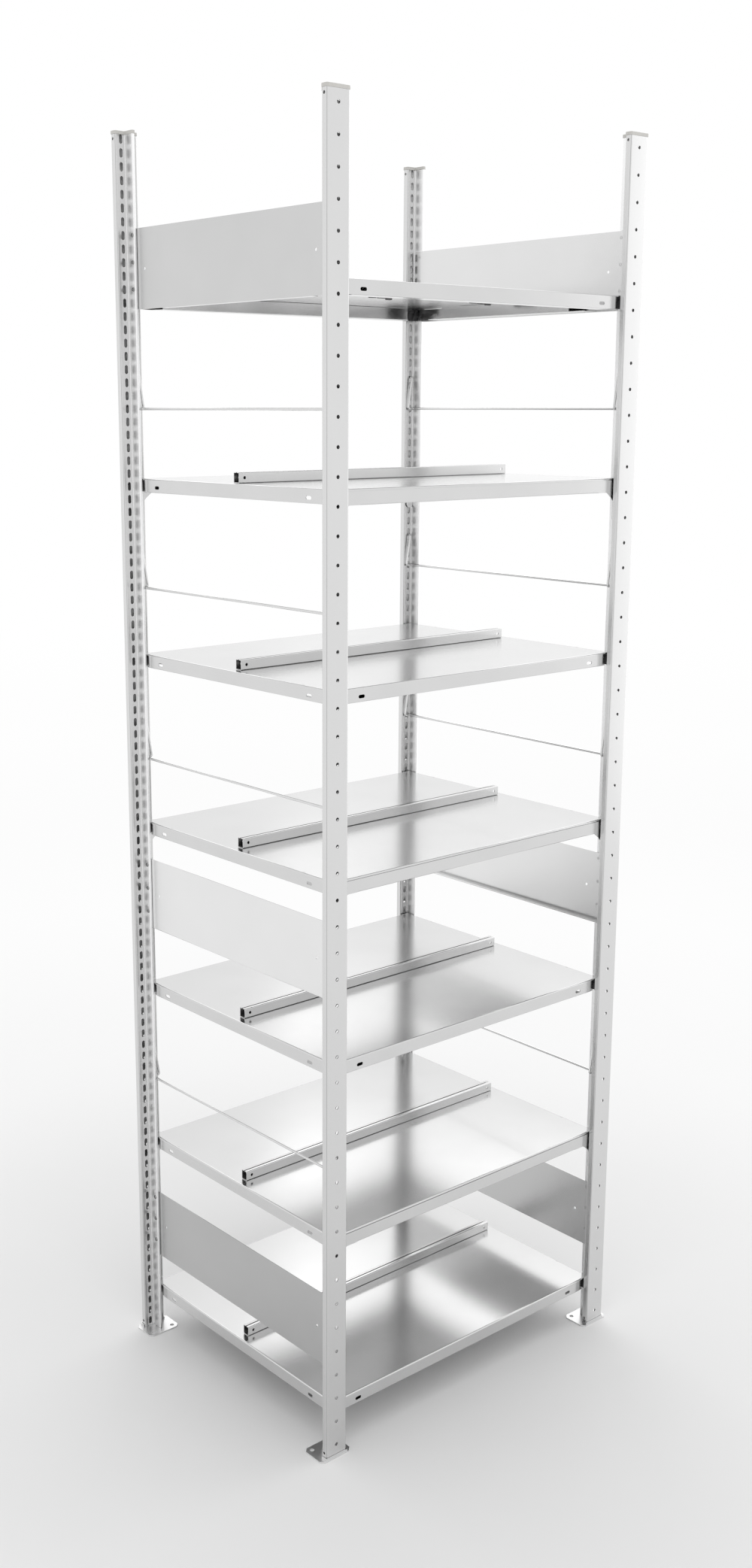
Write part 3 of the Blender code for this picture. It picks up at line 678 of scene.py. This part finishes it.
def joints_mesh():
    """Pressed joints that hold the web's two walls together: a faint ring on either side."""
    bm = bmesh.new()
    for height in hole_heights():
        for side in (-1, 1):
            ring = [(radius, side * (WEB_WIDTH / 2 + rise)) for radius, rise in JOINT_RING]
            lathe(bm, ring, (JOINT_REACH, height), 16, "X")
    return smooth(bare_mesh("pips", bm), 50)


def cap_mesh():
    """Push-on cap with soft edges and a pocket for the post's head."""
    bm = bmesh.new()
    layers(bm, [(post_outline(grow, 6), height) for height, grow in CAP_PROFILE], "Z")
    body = solid("post_cap", bm)
    bm = bmesh.new()
    prism(bm, post_outline(FIT_GAP, 4), -CAP_POCKET, FIT_GAP, "Z")
    return smooth(shaped(body, (solid("post_cap_pocket", bm), "DIFFERENCE")), 40)


def foot_mesh():
    """Foot plate with anchor holes and a low strip bent round the flange."""
    half, low, high = FLANGE_WIDTH / 2 + FOOT_SIDE, -FOOT_FRONT, WEB_REACH + FOOT_BACK
    cut, corner, edge = FOOT_CHAMFER, FOOT_CORNER, FOOT_EDGE
    outline = rounded([
        (-half, low + cut, corner), (-half + cut, low, corner), (half - cut, low, corner),
        (half, low + cut, corner), (half, high - cut, corner), (half - cut, high, corner),
        (-half + cut, high, corner), (-half, high - cut, corner),
    ], 2)
    centre = Vector((0, (low + high) / 2))
    inset = [point + (centre - point).normalized() * edge for point in outline]
    bm = bmesh.new()
    layers(bm, [(inset, 0), (outline, edge), (outline, FOOT_THICK - edge), (inset, FOOT_THICK)], "Z")
    body = solid("foot_plate", bm)
    bm = bmesh.new()
    for side in (-1, 1):
        hole = circle(FOOT_HOLE, 24, (side * (half - FOOT_HOLE_SIDE), high - FOOT_HOLE_BACK))
        prism(bm, hole, -CUT_OVER, FOOT_THICK + CUT_OVER, "Z")
    holes = solid("foot_holes", bm)
    bm = bmesh.new()
    out = FOOT_TAB_GAP + FOOT_TAB_THICK / 2
    side, back = FLANGE_WIDTH / 2 + out, FLANGE_DEPTH * FOOT_TAB_SHARE
    path = [(-side, back), (-side, -out), (side, -out), (side, back)]
    tabs = ribbon(path, FOOT_TAB_THICK, TIGHT_BEND, 4)
    prism(bm, tabs, FOOT_THICK / 2, FOOT_THICK + FOOT_TAB_RISE, "Z")
    return smooth(shaped(body, (holes, "DIFFERENCE"), (solid("foot_tabs", bm), "UNION")), 35)


# Bolts and clips on a post


def bolts_mesh(mirrored):
    """Low round heads with a groove on the web's outer side, with shanks through the plate."""
    face = WEB_WIDTH / 2
    tip = face + PLATE_REACH + SHANK_TIP
    root = face - SHANK_ROOT
    head = [(radius, -face - rise) for radius, rise in BOLT_HEAD]
    shank = [
        (0, root), (SHANK_RADIUS, root), (SHANK_RADIUS, tip - SHANK_TIP), (SHANK_TIP_RADIUS, tip), (0, tip),
    ]
    bm = bmesh.new()
    for first in PLATE_SLOTS:
        for row in range(BOLT_COUNT):
            spot = (BOLT_ROW, slot_height(first + BOLT_PITCH_SLOTS * row))
            lathe(bm, head, spot, 22, "X")
            lathe(bm, shank, spot, 18, "X")
    mesh = bare_mesh("bolts", bm, mirrored)

    def on_plate_side(centre, _):
        return int((centre.x > 0) != mirrored)

    return smooth(coat(mesh, (dark_bolt_steel, sheet_steel), on_plate_side), 40)


def clip_rings(middle, half, low, top, near, far):
    """Bottle outlines through a clip, with a sloping foot at its far end."""
    neck = half * CLIP_NECK_SHARE
    front = rounded([
        (middle - half, low, CLIP_CORNER), (middle + half, low, CLIP_CORNER),
        (middle + half, top - CLIP_SHOULDER, CLIP_CORNER), (middle + neck, top - CLIP_NECK, CLIP_NECK_ROUND),
        (middle + neck, top, CLIP_TOP_ROUND), (middle - neck, top, CLIP_TOP_ROUND),
        (middle - neck, top - CLIP_NECK, CLIP_NECK_ROUND), (middle - half, top - CLIP_SHOULDER, CLIP_CORNER),
    ], 3)
    centre = Vector((middle, (top + low) / 2))
    slope_start = far - CLIP_SLOPE_LENGTH
    sizes = (
        (near, 0.97), (near + CLIP_EDGE, 1.0), (slope_start, 1.0), (far - CLIP_EDGE, 0.99), (far, 0.95),
    )
    rings = []
    for y, share in sizes:
        slope = max(0.0, (y - slope_start) / CLIP_SLOPE_LENGTH)
        ring = []
        for point in front:
            spot = centre + (point - centre) * share
            if spot.y < centre.y:
                spot.y += slope * CLIP_SLOPE_RISE * (centre.y - spot.y) / (centre.y - low)
            ring.append(spot)
        rings.append((ring, y))
    return rings


def clips_mesh(mirrored):
    """Dark clips below every shelf corner, with a nose in a slot where no beam is in front of them."""
    start = WEB_WIDTH / 2 + PLATE_REACH + FIT_GAP
    end = SLOT_OFFSET * 2 - start
    bm = bmesh.new()
    for index in range(SHELF_COUNT):
        top = shelf_top(index) - SHELF_SHEET - FIT_GAP
        low = top - SHELF_HEIGHT * CLIP_HEIGHT_SHARE
        near, far = FLANGE_DEPTH + CLIP_GAP, SHELF_FACE + CLIP_REACH
        if has_beam(index):
            near = SHELF_FACE - CLIP_LAP
        layers(bm, clip_rings((start + end) / 2, (end - start) / 2, low, top, near, far), "Y")
        if has_beam(index):
            continue
        left, right = SLOT_OFFSET - CLIP_NOSE_HALF, SLOT_OFFSET + CLIP_NOSE_HALF
        foot, head = top - CLIP_NOSE_LOW, top - CLIP_NOSE_TOP
        corners = ((left, foot), (right, foot), (right, head), (left, head))
        nose = rounded([(x, z, CLIP_NOSE_ROUND) for x, z in corners], 3)
        prism(bm, nose, CAVITY_BACK - CLIP_NOSE_INTO, near + CLIP_NOSE_LAP, "Y")
    return smooth(bare_mesh("clips", bm, mirrored), 35)


# Shelves


def shelf_sheet():
    """Top sheet, cut out at its corners."""
    a, b = SHELF_HALF_LENGTH, SHELF_HALF_DEPTH
    corner = [(a - SHELF_FOLD, b - SHELF_GAP), (a, b - SHELF_GAP), (a, b), (a - SHELF_GAP, b)]
    corner.append((a - SHELF_GAP, b - SHELF_FOLD))
    outline = []
    for sx, sy in ((1, 1), (-1, 1), (-1, -1), (1, -1)):
        points = [Vector((sx * x, sy * y)) for x, y in corner]
        outline += points if sx == sy else reversed(points)
    bm = bmesh.new()
    prism(bm, outline, -SHELF_SHEET, 0, "Z")
    return solid("shelf", bm)


def fold_section(face, draw):
    """Section of one face with its lip and return; draw pulls the face's foot in."""
    low, inner, top, sheet = -SHELF_HEIGHT, face - SHELF_LIP, SHELF_RETURN_TOP, SHELF_SHEET
    tail, foot, wide, tight = face - SHELF_FOLD - SHELF_TAIL, face - draw, SHELF_FOOT_BEND, SHELF_INNER_BEND
    return rounded([
        (tail, -sheet), (tail, 0), (face, 0, SHELF_FOLD), (foot, low, wide), (inner, low, wide),
        (inner, top), (inner + sheet, top), (inner + sheet, low + sheet, tight),
        (foot - sheet, low + sheet, tight), (face - sheet, -sheet, SHELF_FOLD - sheet),
    ], 5)


def shelf_folds(face, run, along):
    """Two opposite folded faces, each from -run to run along the axis named."""
    bm = bmesh.new()
    for sign in (1, -1):
        rings = []
        for reach, draw in SHELF_DRAW_STEPS:
            ring = [Vector((sign * p.x, p.y)) for p in fold_section(face, SHELF_DRAW * draw)]
            rings.append((ring, (reach + 1) * SHELF_DRAW_LENGTH - run))
        rings += [(ring, -reach) for ring, reach in reversed(rings)]
        layers(bm, rings, along)
    return solid("shelf_folds_" + along, bm)


def placed(points, s, t, swap):
    """Points mirrored by the signs s and t, with their x and y changed over if swap is true."""
    points = [(s * x, t * y) for x, y in points]
    return [Vector((y, x)) if swap else Vector((x, y)) for x, y in points]


def shelf_cutters():
    """Openings in the lips and returns beside the corners, holes in the faces and marks on top.

    Solids that cross one another don't cut when they lie in one object, so each kind has its own.
    """
    a, b = SHELF_HALF_LENGTH, SHELF_HALF_DEPTH
    windows = {swap: bmesh.new() for swap in (False, True)}
    returns, holes = bmesh.new(), bmesh.new()
    low, high = -SHELF_HEIGHT - CUT_OVER, SHELF_RETURN_TOP + FIT_GAP
    drop = SHELF_HEIGHT * SHELF_HOLE_DROP_SHARE
    for sx in (-1, 1):
        for sy in (-1, 1):
            for swap, far, edge, window in ((False, a, b, WINDOW_LONG), (True, b, a, WINDOW_SIDE)):
                s, t = (sy, sx) if swap else (sx, sy)
                out, end = far - SHELF_GAP + CUT_OVER, far - SHELF_LIP - window
                inside, rim = edge - SHELF_LIP - CUT_OVER, edge - WINDOW_RIM
                slant = [(end + WINDOW_SLANT_OUT, rim), (end - WINDOW_SLANT_IN, inside)]
                view = [(out, rim), *slant, (out, inside)]
                prism(windows[swap], placed(view, s, t, swap), low, high, "Z")
                if swap:
                    start, stop, deep = end - RETURN_OPENING, end + RETURN_LAP, inside + RETURN_CUT
                    view = [(start, inside), (start, deep), (stop, deep), (stop, inside)]
                    prism(returns, placed(view, s, t, swap), -SHELF_HEIGHT + RETURN_FOOT, high, "Z")
                hole = obround(SHELF_HOLE_LENGTH, SHELF_HOLE_HEIGHT, (s * (far - SHELF_HOLE_END), -drop), 6)
                reach = sorted((t * (edge - SHELF_HOLE_CUT), t * (edge + CUT_OVER)))
                prism(holes, hole, *reach, "X" if swap else "Y")
        for y in (-MARK_PLACE, MARK_PLACE):
            mark = obround(MARK_LENGTH, MARK_WIDTH, (sx * (a - MARK_END), y), 5, True)
            prism(holes, mark, -MARK_DEPTH, CUT_OVER, "Z")
    cutters = [solid(f"shelf_windows_{swap}", made) for swap, made in windows.items()]
    return cutters + [solid("shelf_returns", returns), solid("shelf_holes", holes)]


def shelf_mesh():
    """Tray: sheet with a folded channel all round, oblong holes and small pressed marks."""
    a, b, body = SHELF_HALF_LENGTH, SHELF_HALF_DEPTH, shelf_sheet()
    folds = [shelf_folds(b, a - SHELF_GAP, "X"), shelf_folds(a, b - SHELF_GAP, "Y")]
    steps = [(fold, "UNION") for fold in folds] + [(cutter, "DIFFERENCE") for cutter in shelf_cutters()]
    return smooth(shaped(body, *steps), 34)


def tongues_mesh():
    """Tongues that hold the rail, just under the sheet; their dark grey is painted shade on zinc."""
    bm = bmesh.new()
    top = -SHELF_SHEET - TONGUE_GAP
    for x in TONGUE_PLACES:
        for start, end, deep in TONGUE_STEPS:
            left, right, low, tip = x + start, x + end, top - deep, TONGUE_ROUND
            shape = rounded([(left, top), (left, low, tip), (right, low, tip), (right, top)], 3)
            prism(bm, shape, -TONGUE_HALF, TONGUE_HALF, "Y")
    return smooth(bare_mesh("hooks", bm), 35)


def rail_mesh():
    """Lipped channel, mouth up, with round bends and a hole near each end; its inner faces are painted
    darker as shade.
    """
    half, wall, m = RAIL_WIDTH / 2, RAIL_WALL, RAIL_WALL / 2
    lip, end = RAIL_WIDTH * RAIL_LIP_SHARE, SHELF_HALF_LENGTH - RAIL_END_GAP
    top = RAIL_HEIGHT - m
    right = [(half - m, m), (half - m, top), (half - lip, top)]
    path = [(-y, z) for y, z in reversed(right)] + right
    bm = bmesh.new()
    prism(bm, ribbon(path, wall, RAIL_BEND, 4), -end, end, "X")
    body = solid("rail", bm)
    bm = bmesh.new()
    for sx in (-1, 1):
        for sy in (-1, 1):
            reach = sorted((sy * (half - wall * 2), sy * (half + CUT_OVER)))
            prism(bm, circle(RAIL_HOLE, 18, (sx * (end - RAIL_HOLE_END), RAIL_HEIGHT / 2)), *reach, "Y")
    mesh = smooth(shaped(body, (solid("rail_holes", bm), "DIFFERENCE")), 34)
    skin_depth = wall * RAIL_SKIN_SHARE

    def inside(centre, _):
        x, y, z = centre
        deep = abs(y) < half - skin_depth and skin_depth < z < RAIL_HEIGHT - skin_depth
        return int(deep and abs(x) < end - NEAR)

    return coat(mesh, (sheet_steel, gutter_painted_shade_steel), inside)


# Beams


def beam_sheet(face, low):
    """The beam's own sheet with its end strips, in the view from the front."""
    end = HALF_SPACING - WEB_WIDTH / 2 - BEAM_END_CLEARANCE
    strip = HALF_SPACING - FLANGE_WIDTH / 2
    hidden = strip + BEAM_HIDDEN
    chamfer = (end - strip) * BEAM_TIP_SHARE
    tip = -SHELF_SLOT_RISE - BEAM_HOOK_SLOTS[-1] * SLOT_PITCH - SLOT_LENGTH / 2 - BEAM_END_MARGIN
    ledge_end = strip - BEAM_LEDGE_END
    bend, step = BEAM_TIP_ROUND, BEAM_STEP_ROUND
    view = [
        (end, -BEAM_TOP_DROP, BEAM_TOP_ROUND), (end, tip + chamfer, bend), (end - chamfer, tip, bend),
        (hidden + chamfer, tip, bend), (hidden, tip + chamfer, bend),
        (hidden, low - BEAM_STEP_FALL, step), (strip, low - BEAM_GUSSET_FALL, step),
        (strip - BEAM_GUSSET, low, BEAM_GUSSET_ROUND), (ledge_end, low, BEAM_LEDGE_ROUND),
        (ledge_end, low + BEAM_LEDGE_LAP, BEAM_NOTCH_ROUND),
    ]
    corners = view + [(-x, z, radius) for x, z, radius in reversed(view)]
    bm = bmesh.new()
    prism(bm, rounded(corners, 4), face - BEAM_THICK, face, "Y")
    return solid("beam", bm)


def beam_ledge(face, low):
    """Lip under the shelf, from gusset to gusset."""
    m = BEAM_THICK / 2
    reach = HALF_SPACING - FLANGE_WIDTH / 2 - BEAM_LEDGE_END
    path = [(face - m, low + BEAM_LEDGE_RISE), (face - m, low + m), (face - m + BEAM_LEDGE, low + m)]
    bm = bmesh.new()
    prism(bm, ribbon(path, BEAM_THICK, BEAM_BEND, 5), -reach, reach, "X")
    return solid("beam_ledge", bm)


def beam_hooks(face):
    """Hooks that go through the posts' slots and down behind their wall."""
    inner, wall_inside = face - BEAM_THICK / 2, CAVITY_BACK - FIT_GAP
    tip = wall_inside - BEAM_HOOK_THICK
    bm = bmesh.new()
    for below in BEAM_HOOK_SLOTS:
        middle = -SHELF_SLOT_RISE - below * SLOT_PITCH
        top, foot = middle + SLOT_LENGTH / 2 - BEAM_HOOK_SLACK, middle - SLOT_LENGTH / 2 + FIT_GAP
        lip = foot - BEAM_HOOK_LIP
        hook = rounded([
            (inner, top), (tip, top, BEAM_HOOK_ROUND), (tip, lip, BEAM_HOOK_TIP_ROUND),
            (wall_inside, lip, BEAM_HOOK_BACK_ROUND), (wall_inside, foot), (inner, foot),
        ], 3)
        for side in (-1, 1):
            x = side * (HALF_SPACING - SLOT_OFFSET)
            prism(bm, hook, x - BEAM_HOOK_HALF, x + BEAM_HOOK_HALF, "X")
    return solid("beam_hooks", bm)


def beam_mesh():
    """Beam with its ledge, end strips and hooks; its zero height is the shelf's top."""
    face = SHELF_FACE - BEAM_FACE_GAP
    low = -SHELF_HEIGHT - FIT_GAP - BEAM_THICK
    body = beam_sheet(face, low)
    return smooth(shaped(body, (beam_ledge(face, low), "UNION"), (beam_hooks(face), "UNION")), 34)


# Sides


def plate_mesh(lipped):
    """Left side plate, with a returned lip along its foot or without."""
    near = WEB_WIDTH / 2 + FIT_GAP
    far = near + PLATE_THICK
    half, m = HALF_DEPTH - PLATE_END, PLATE_THICK / 2
    foot, low_corner = (PLATE_LIP_RISE - PLATE_LIP_LAP, 0) if lipped else (0, PLATE_CORNER)
    corners = [
        (half, foot, low_corner), (half, PLATE_HEIGHT, PLATE_CORNER),
        (-half, PLATE_HEIGHT, PLATE_CORNER), (-half, foot, low_corner),
    ]
    bm = bmesh.new()
    prism(bm, rounded(corners, 4), near, far, "X")
    body = solid("side_plate", bm)
    steps = []
    if lipped:
        end = near + PLATE_LIP
        path = [(near + m, PLATE_LIP_RISE), (near + m, m), (end - m, m), (end - m, PLATE_RETURN)]
        bm = bmesh.new()
        prism(bm, ribbon(path, PLATE_THICK, PLATE_BEND, 4), PLATE_CORNER - half, half - PLATE_CORNER, "Y")
        steps.append((solid("side_plate_lip", bm), "UNION"))
    bm = bmesh.new()
    for side in (-1, 1):
        spots = [
            (BOLT_HOLE, 16, BOLT_ROW, BOLT_RISE + row * BOLT_PITCH_SLOTS * SLOT_PITCH)
            for row in range(BOLT_COUNT)
        ]
        spots.append((PLATE_HOLE, 18, PLATE_HOLE_END, PLATE_HEIGHT / 2))
        for across, sides, inward, height in spots:
            hole = circle(across, sides, (side * (HALF_DEPTH - inward), height))
            prism(bm, hole, near - CUT_OVER, far + CUT_OVER, "X")
    return smooth(shaped(body, *steps, (solid("plate_holes", bm), "DIFFERENCE")), 34)


def wire_path():
    """Middle line of a wire: its run at zero height, and at each end a bend, a slanted rise and a hook."""
    rest = WIRE_RISE_SLOTS * SLOT_PITCH - SLOT_LENGTH / 2 + FIT_GAP + WIRE_DIAMETER / 2
    hook = FLANGE_DEPTH / 2 - HALF_DEPTH
    rise = FLANGE_DEPTH + WIRE_FACE_GAP + WIRE_DIAMETER / 2 - HALF_DEPTH
    side = SLOT_OFFSET - WEB_WIDTH / 2 - WIRE_WEB_GAP - WIRE_DIAMETER / 2
    corners = [
        (0, hook, rest - WIRE_HOOK_DROP, 0), (0, hook, rest, WIRE_HOOK_BEND), (0, rise, rest, WIRE_BEND),
        (WIRE_LEAN, rise, 0, WIRE_BEND), (-side, rise, 0, WIRE_BEND), (-side, 0, 0, 0),
    ]
    spots = [Vector(corner[:3]) for corner in corners]
    path = [spots[0]]
    for i in range(1, len(spots) - 1):
        path += fillet(spots[i - 1], spots[i], spots[i + 1], corners[i][3], 6)
    return path + [Vector((p.x, -p.y, p.z)) for p in reversed(path)]


def wire_mesh():
    """Round wire along its path."""
    path, radius, bm = wire_path(), WIRE_DIAMETER / 2, bmesh.new()
    rows = []
    last, across = None, Vector((1, 0, 0))
    for i, spot in enumerate(path):
        ahead = (path[min(i + 1, len(path) - 1)] - path[max(i - 1, 0)]).normalized()
        if last:
            across = last.rotation_difference(ahead) @ across
        last = ahead
        across = (across - ahead * across.dot(ahead)).normalized()
        up = across.cross(ahead)
        turns = [2 * math.pi * k / WIRE_SIDES for k in range(WIRE_SIDES)]
        rows.append([
            bm.verts.new(spot + (across * math.cos(turn) + up * math.sin(turn)) * radius) for turn in turns
        ])
    capped_skin(bm, rows)
    return smooth(bare_mesh("side_wire", bm), 50)


# Everything in its place


def place_posts():
    """Posts with their bolts, joints, clips, caps and foot plates."""
    post, joints, cap, foot, zinc = post_mesh(), joints_mesh(), cap_mesh(), foot_mesh(), "galvanised_steel"
    bolts = {mirrored: bolts_mesh(mirrored) for mirrored in (False, True)}
    clips = {mirrored: clips_mesh(mirrored) for mirrored in (False, True)}
    for row, y, turn in ROWS:
        for column, x in (("left", -HALF_SPACING), ("right", HALF_SPACING)):
            mirrored = (column == "right") != (row == "back")
            name, spot = f"{row}_{column}", (x, y, POST_BOTTOM)
            piece(f"post_tube_{name}", post, post_steel, "frame", spot, turn, f"post_{name}")
            piece(f"plate_bolts_{name}", bolts[mirrored], dark_bolt_steel, "frame", spot, turn, None)
            piece(f"web_pips_{name}", joints, web_painted_light_steel, "frame", spot, turn, None)
            piece(f"shelf_clips_{name}", clips[mirrored], clip_near_black, "frame", spot, turn)
            spot, node = (x, y, POST_BOTTOM + POST_HEIGHT), f"post_cap_{name}"
            piece(f"cap_{name}", cap, cap_plastic, "frame", spot, turn, node)
            piece(f"foot_{name}", foot, foot_painted_sheen_steel, "frame", (x, y, 0), turn, f"foot_plate_{name}")


def place_shelves():
    """Shelves with their rails and tongues, and beams at every second shelf."""
    tray, rail, beam, tongues = shelf_mesh(), rail_mesh(), beam_mesh(), tongues_mesh()
    for index in range(SHELF_COUNT):
        n, top = index + 1, POST_BOTTOM + shelf_top(index)
        group = f"shelf_{n}_set"
        piece(f"tray_{n}", tray, sheet_steel, group, (0, 0, top), 0, f"shelf_{n}")
        piece(f"rail_{n}", rail, sheet_steel, group, (0, 0, top + FIT_GAP), 0, f"middle_rail_{n}")
        piece(f"rail_hooks_{n}", tongues, tongue_painted_shade, group, (0, 0, top))
        if has_beam(index):
            for row, y, turn in ROWS:
                name, node = f"shelf_beam_{row}_{n}", f"beam_{row}_{n}"
                piece(name, beam, sheet_steel, "frame", (0, y, top), turn, node)


def place_sides():
    """Side plates, each with its own lighter or darker copy of the zinc as painted light and shade, and side
    wires.
    """
    plates = {lipped: plate_mesh(lipped) for lipped in (False, True)}
    wire = wire_mesh()
    for column, sign, turn in (("left", -1, 0), ("right", 1, math.pi)):
        for n, (slot, lipped) in enumerate(zip(PLATE_SLOTS, PLATE_LIPPED), 1):
            spot = (sign * HALF_SPACING, 0, POST_BOTTOM + slot_height(slot) - BOLT_RISE)
            panel, zinc, node = plates[lipped].copy(), plate_lit_and_shaded_steels[column, n], f"side_plate_{column}_{n}"
            piece(f"panel_{column}_{n}", panel, zinc, "frame", spot, turn, node)
        for n, slot in enumerate(WIRE_SLOTS, 1):
            spot = (sign * (HALF_SPACING - SLOT_OFFSET), 0, POST_BOTTOM + slot_height(slot))
            node = f"side_wire_{column}_{n}"
            piece(f"wire_{column}_{n}", wire, wire_steel, "frame", spot, turn, node)


# Floor, world, lamps and camera


def floor():
    """Pale floor that glows to plain white away from the object and keeps its shadow near it."""
    bm = bmesh.new()
    corners = ((-1, -1), (1, -1), (1, 1), (-1, 1))
    bm.faces.new([bm.verts.new((x * FLOOR_HALF, y * FLOOR_HALF, 0)) for x, y in corners])
    thing = solid("studio_floor", bm)
    if thing.data.polygons[0].normal.z < 0:
        thing.data.flip_normals()
    material, nodes, links, shader = new_material("floor_paint")
    shader.inputs["Roughness"].default_value = 0.9
    shader.inputs["Specular IOR Level"].default_value = 0.0
    coords = nodes.new("ShaderNodeTexCoord").outputs["Object"]
    tone = nodes.new("ShaderNodeMapRange")
    tone.inputs["To Min"].default_value = 0.835
    tone.inputs["To Max"].default_value = 0.845
    links.new(noise(nodes, links, coords, 3.0, 2.0), tone.inputs["Value"])
    links.new(tone.outputs["Result"], shader.inputs["Base Color"])
    reach = nodes.new("ShaderNodeVectorMath")
    reach.operation = "LENGTH"
    links.new(coords, reach.inputs[0])
    span = nodes.new("ShaderNodeMapRange")
    span.inputs["From Max"].default_value = FLOOR_FADE
    links.new(reach.outputs["Value"], span.inputs["Value"])
    ramp = nodes.new("ShaderNodeValToRGB")
    ramp.color_ramp.interpolation = "EASE"
    for place, level in FLOOR_STEPS:
        ramp.color_ramp.elements.new(place).color = (level, level, level, 1)
    links.new(span.outputs["Result"], ramp.inputs["Fac"])
    glow = nodes.new("ShaderNodeEmission")
    glow.inputs["Color"].default_value = (1, 1, 1, 1)
    mix = nodes.new("ShaderNodeMixShader")
    links.new(ramp.outputs["Color"], mix.inputs["Fac"])
    links.new(shader.outputs["BSDF"], mix.inputs[1])
    links.new(glow.outputs["Emission"], mix.inputs[2])
    links.new(mix.outputs["Shader"], nodes["Material Output"].inputs["Surface"])
    thing.data.materials.append(material)


def world():
    """White for the view and for reflections, and slightly less of it as soft light."""
    studio = bpy.data.worlds.new("studio")
    bpy.context.scene.world = studio
    studio.use_nodes = True
    nodes, links = studio.node_tree.nodes, studio.node_tree.links
    nodes.clear()
    path = nodes.new("ShaderNodeLightPath")
    seen = nodes.new("ShaderNodeMath")
    seen.operation = "MAXIMUM"
    links.new(path.outputs["Is Camera Ray"], seen.inputs[0])
    links.new(path.outputs["Is Glossy Ray"], seen.inputs[1])
    mix = nodes.new("ShaderNodeMixShader")
    links.new(seen.outputs[0], mix.inputs["Fac"])
    for socket, strength in ((1, WORLD_DIFFUSE), (2, 1.0)):
        white = nodes.new("ShaderNodeBackground")
        white.inputs["Color"].default_value = (1, 1, 1, 1)
        white.inputs["Strength"].default_value = strength
        links.new(white.outputs["Background"], mix.inputs[socket])
    out = nodes.new("ShaderNodeOutputWorld")
    links.new(mix.outputs["Shader"], out.inputs["Surface"])


def lamp(name, azimuth, elevation, distance, width, height, radiance, aim_height=1.0):
    """Soft box seen from a point on the Z axis at that azimuth (from +Y to +X) and elevation."""
    a, e = math.radians(azimuth), math.radians(elevation)
    out = Vector((math.sin(a) * math.cos(e), math.cos(a) * math.cos(e), math.sin(e)))
    data = bpy.data.lights.new(name, "AREA")
    data.shape = "RECTANGLE"
    data.size, data.size_y = width, height
    data.energy = radiance * math.pi * width * height
    thing = bpy.data.objects.new(name, data)
    thing.location = Vector((0, 0, aim_height)) + out * distance
    thing.rotation_mode = "QUATERNION"
    thing.rotation_quaternion = (-out).to_track_quat("-Z", "Y")
    bpy.context.scene.collection.objects.link(thing)


def camera():
    """Camera of the photograph, with the optical axis beside the picture's middle."""
    data = bpy.data.cameras.new("view")
    data.sensor_width = SENSOR
    data.lens = FOCAL_PIXELS * SENSOR / PHOTO_HEIGHT
    data.shift_x = (PHOTO_WIDTH / 2 - AXIS_X) / PHOTO_HEIGHT
    data.shift_y = (AXIS_Y - PHOTO_HEIGHT / 2) / PHOTO_HEIGHT
    data.clip_start, data.clip_end = 0.05, 200
    thing = bpy.data.objects.new("view", data)
    a, p = math.radians(CAMERA_HEADING), math.radians(CAMERA_FALL)
    look = Vector((math.sin(a) * math.cos(p), math.cos(a) * math.cos(p), -math.sin(p)))
    thing.location = CAMERA_SPOT
    thing.rotation_mode = "QUATERNION"
    thing.rotation_quaternion = look.to_track_quat("-Z", "Y")
    bpy.context.scene.collection.objects.link(thing)
    bpy.context.scene.camera = thing


place_posts()
place_shelves()
place_sides()
floor()
world()
lamp("back_right_box", 57, 34, 5.0, 3.6, 2.4, 0.77)
lamp("back_box", 26, 43, 5.0, 2.6, 2.6, 1.1)
lamp("top_box", 200, 72, 4.5, 2.5, 2.5, 0.6)
lamp("front_right_box", 116, 14, 4.5, 1.9, 3.6, 0.8, aim_height=0.55)
camera()
bpy.context.scene.view_settings.view_transform = "Standard"
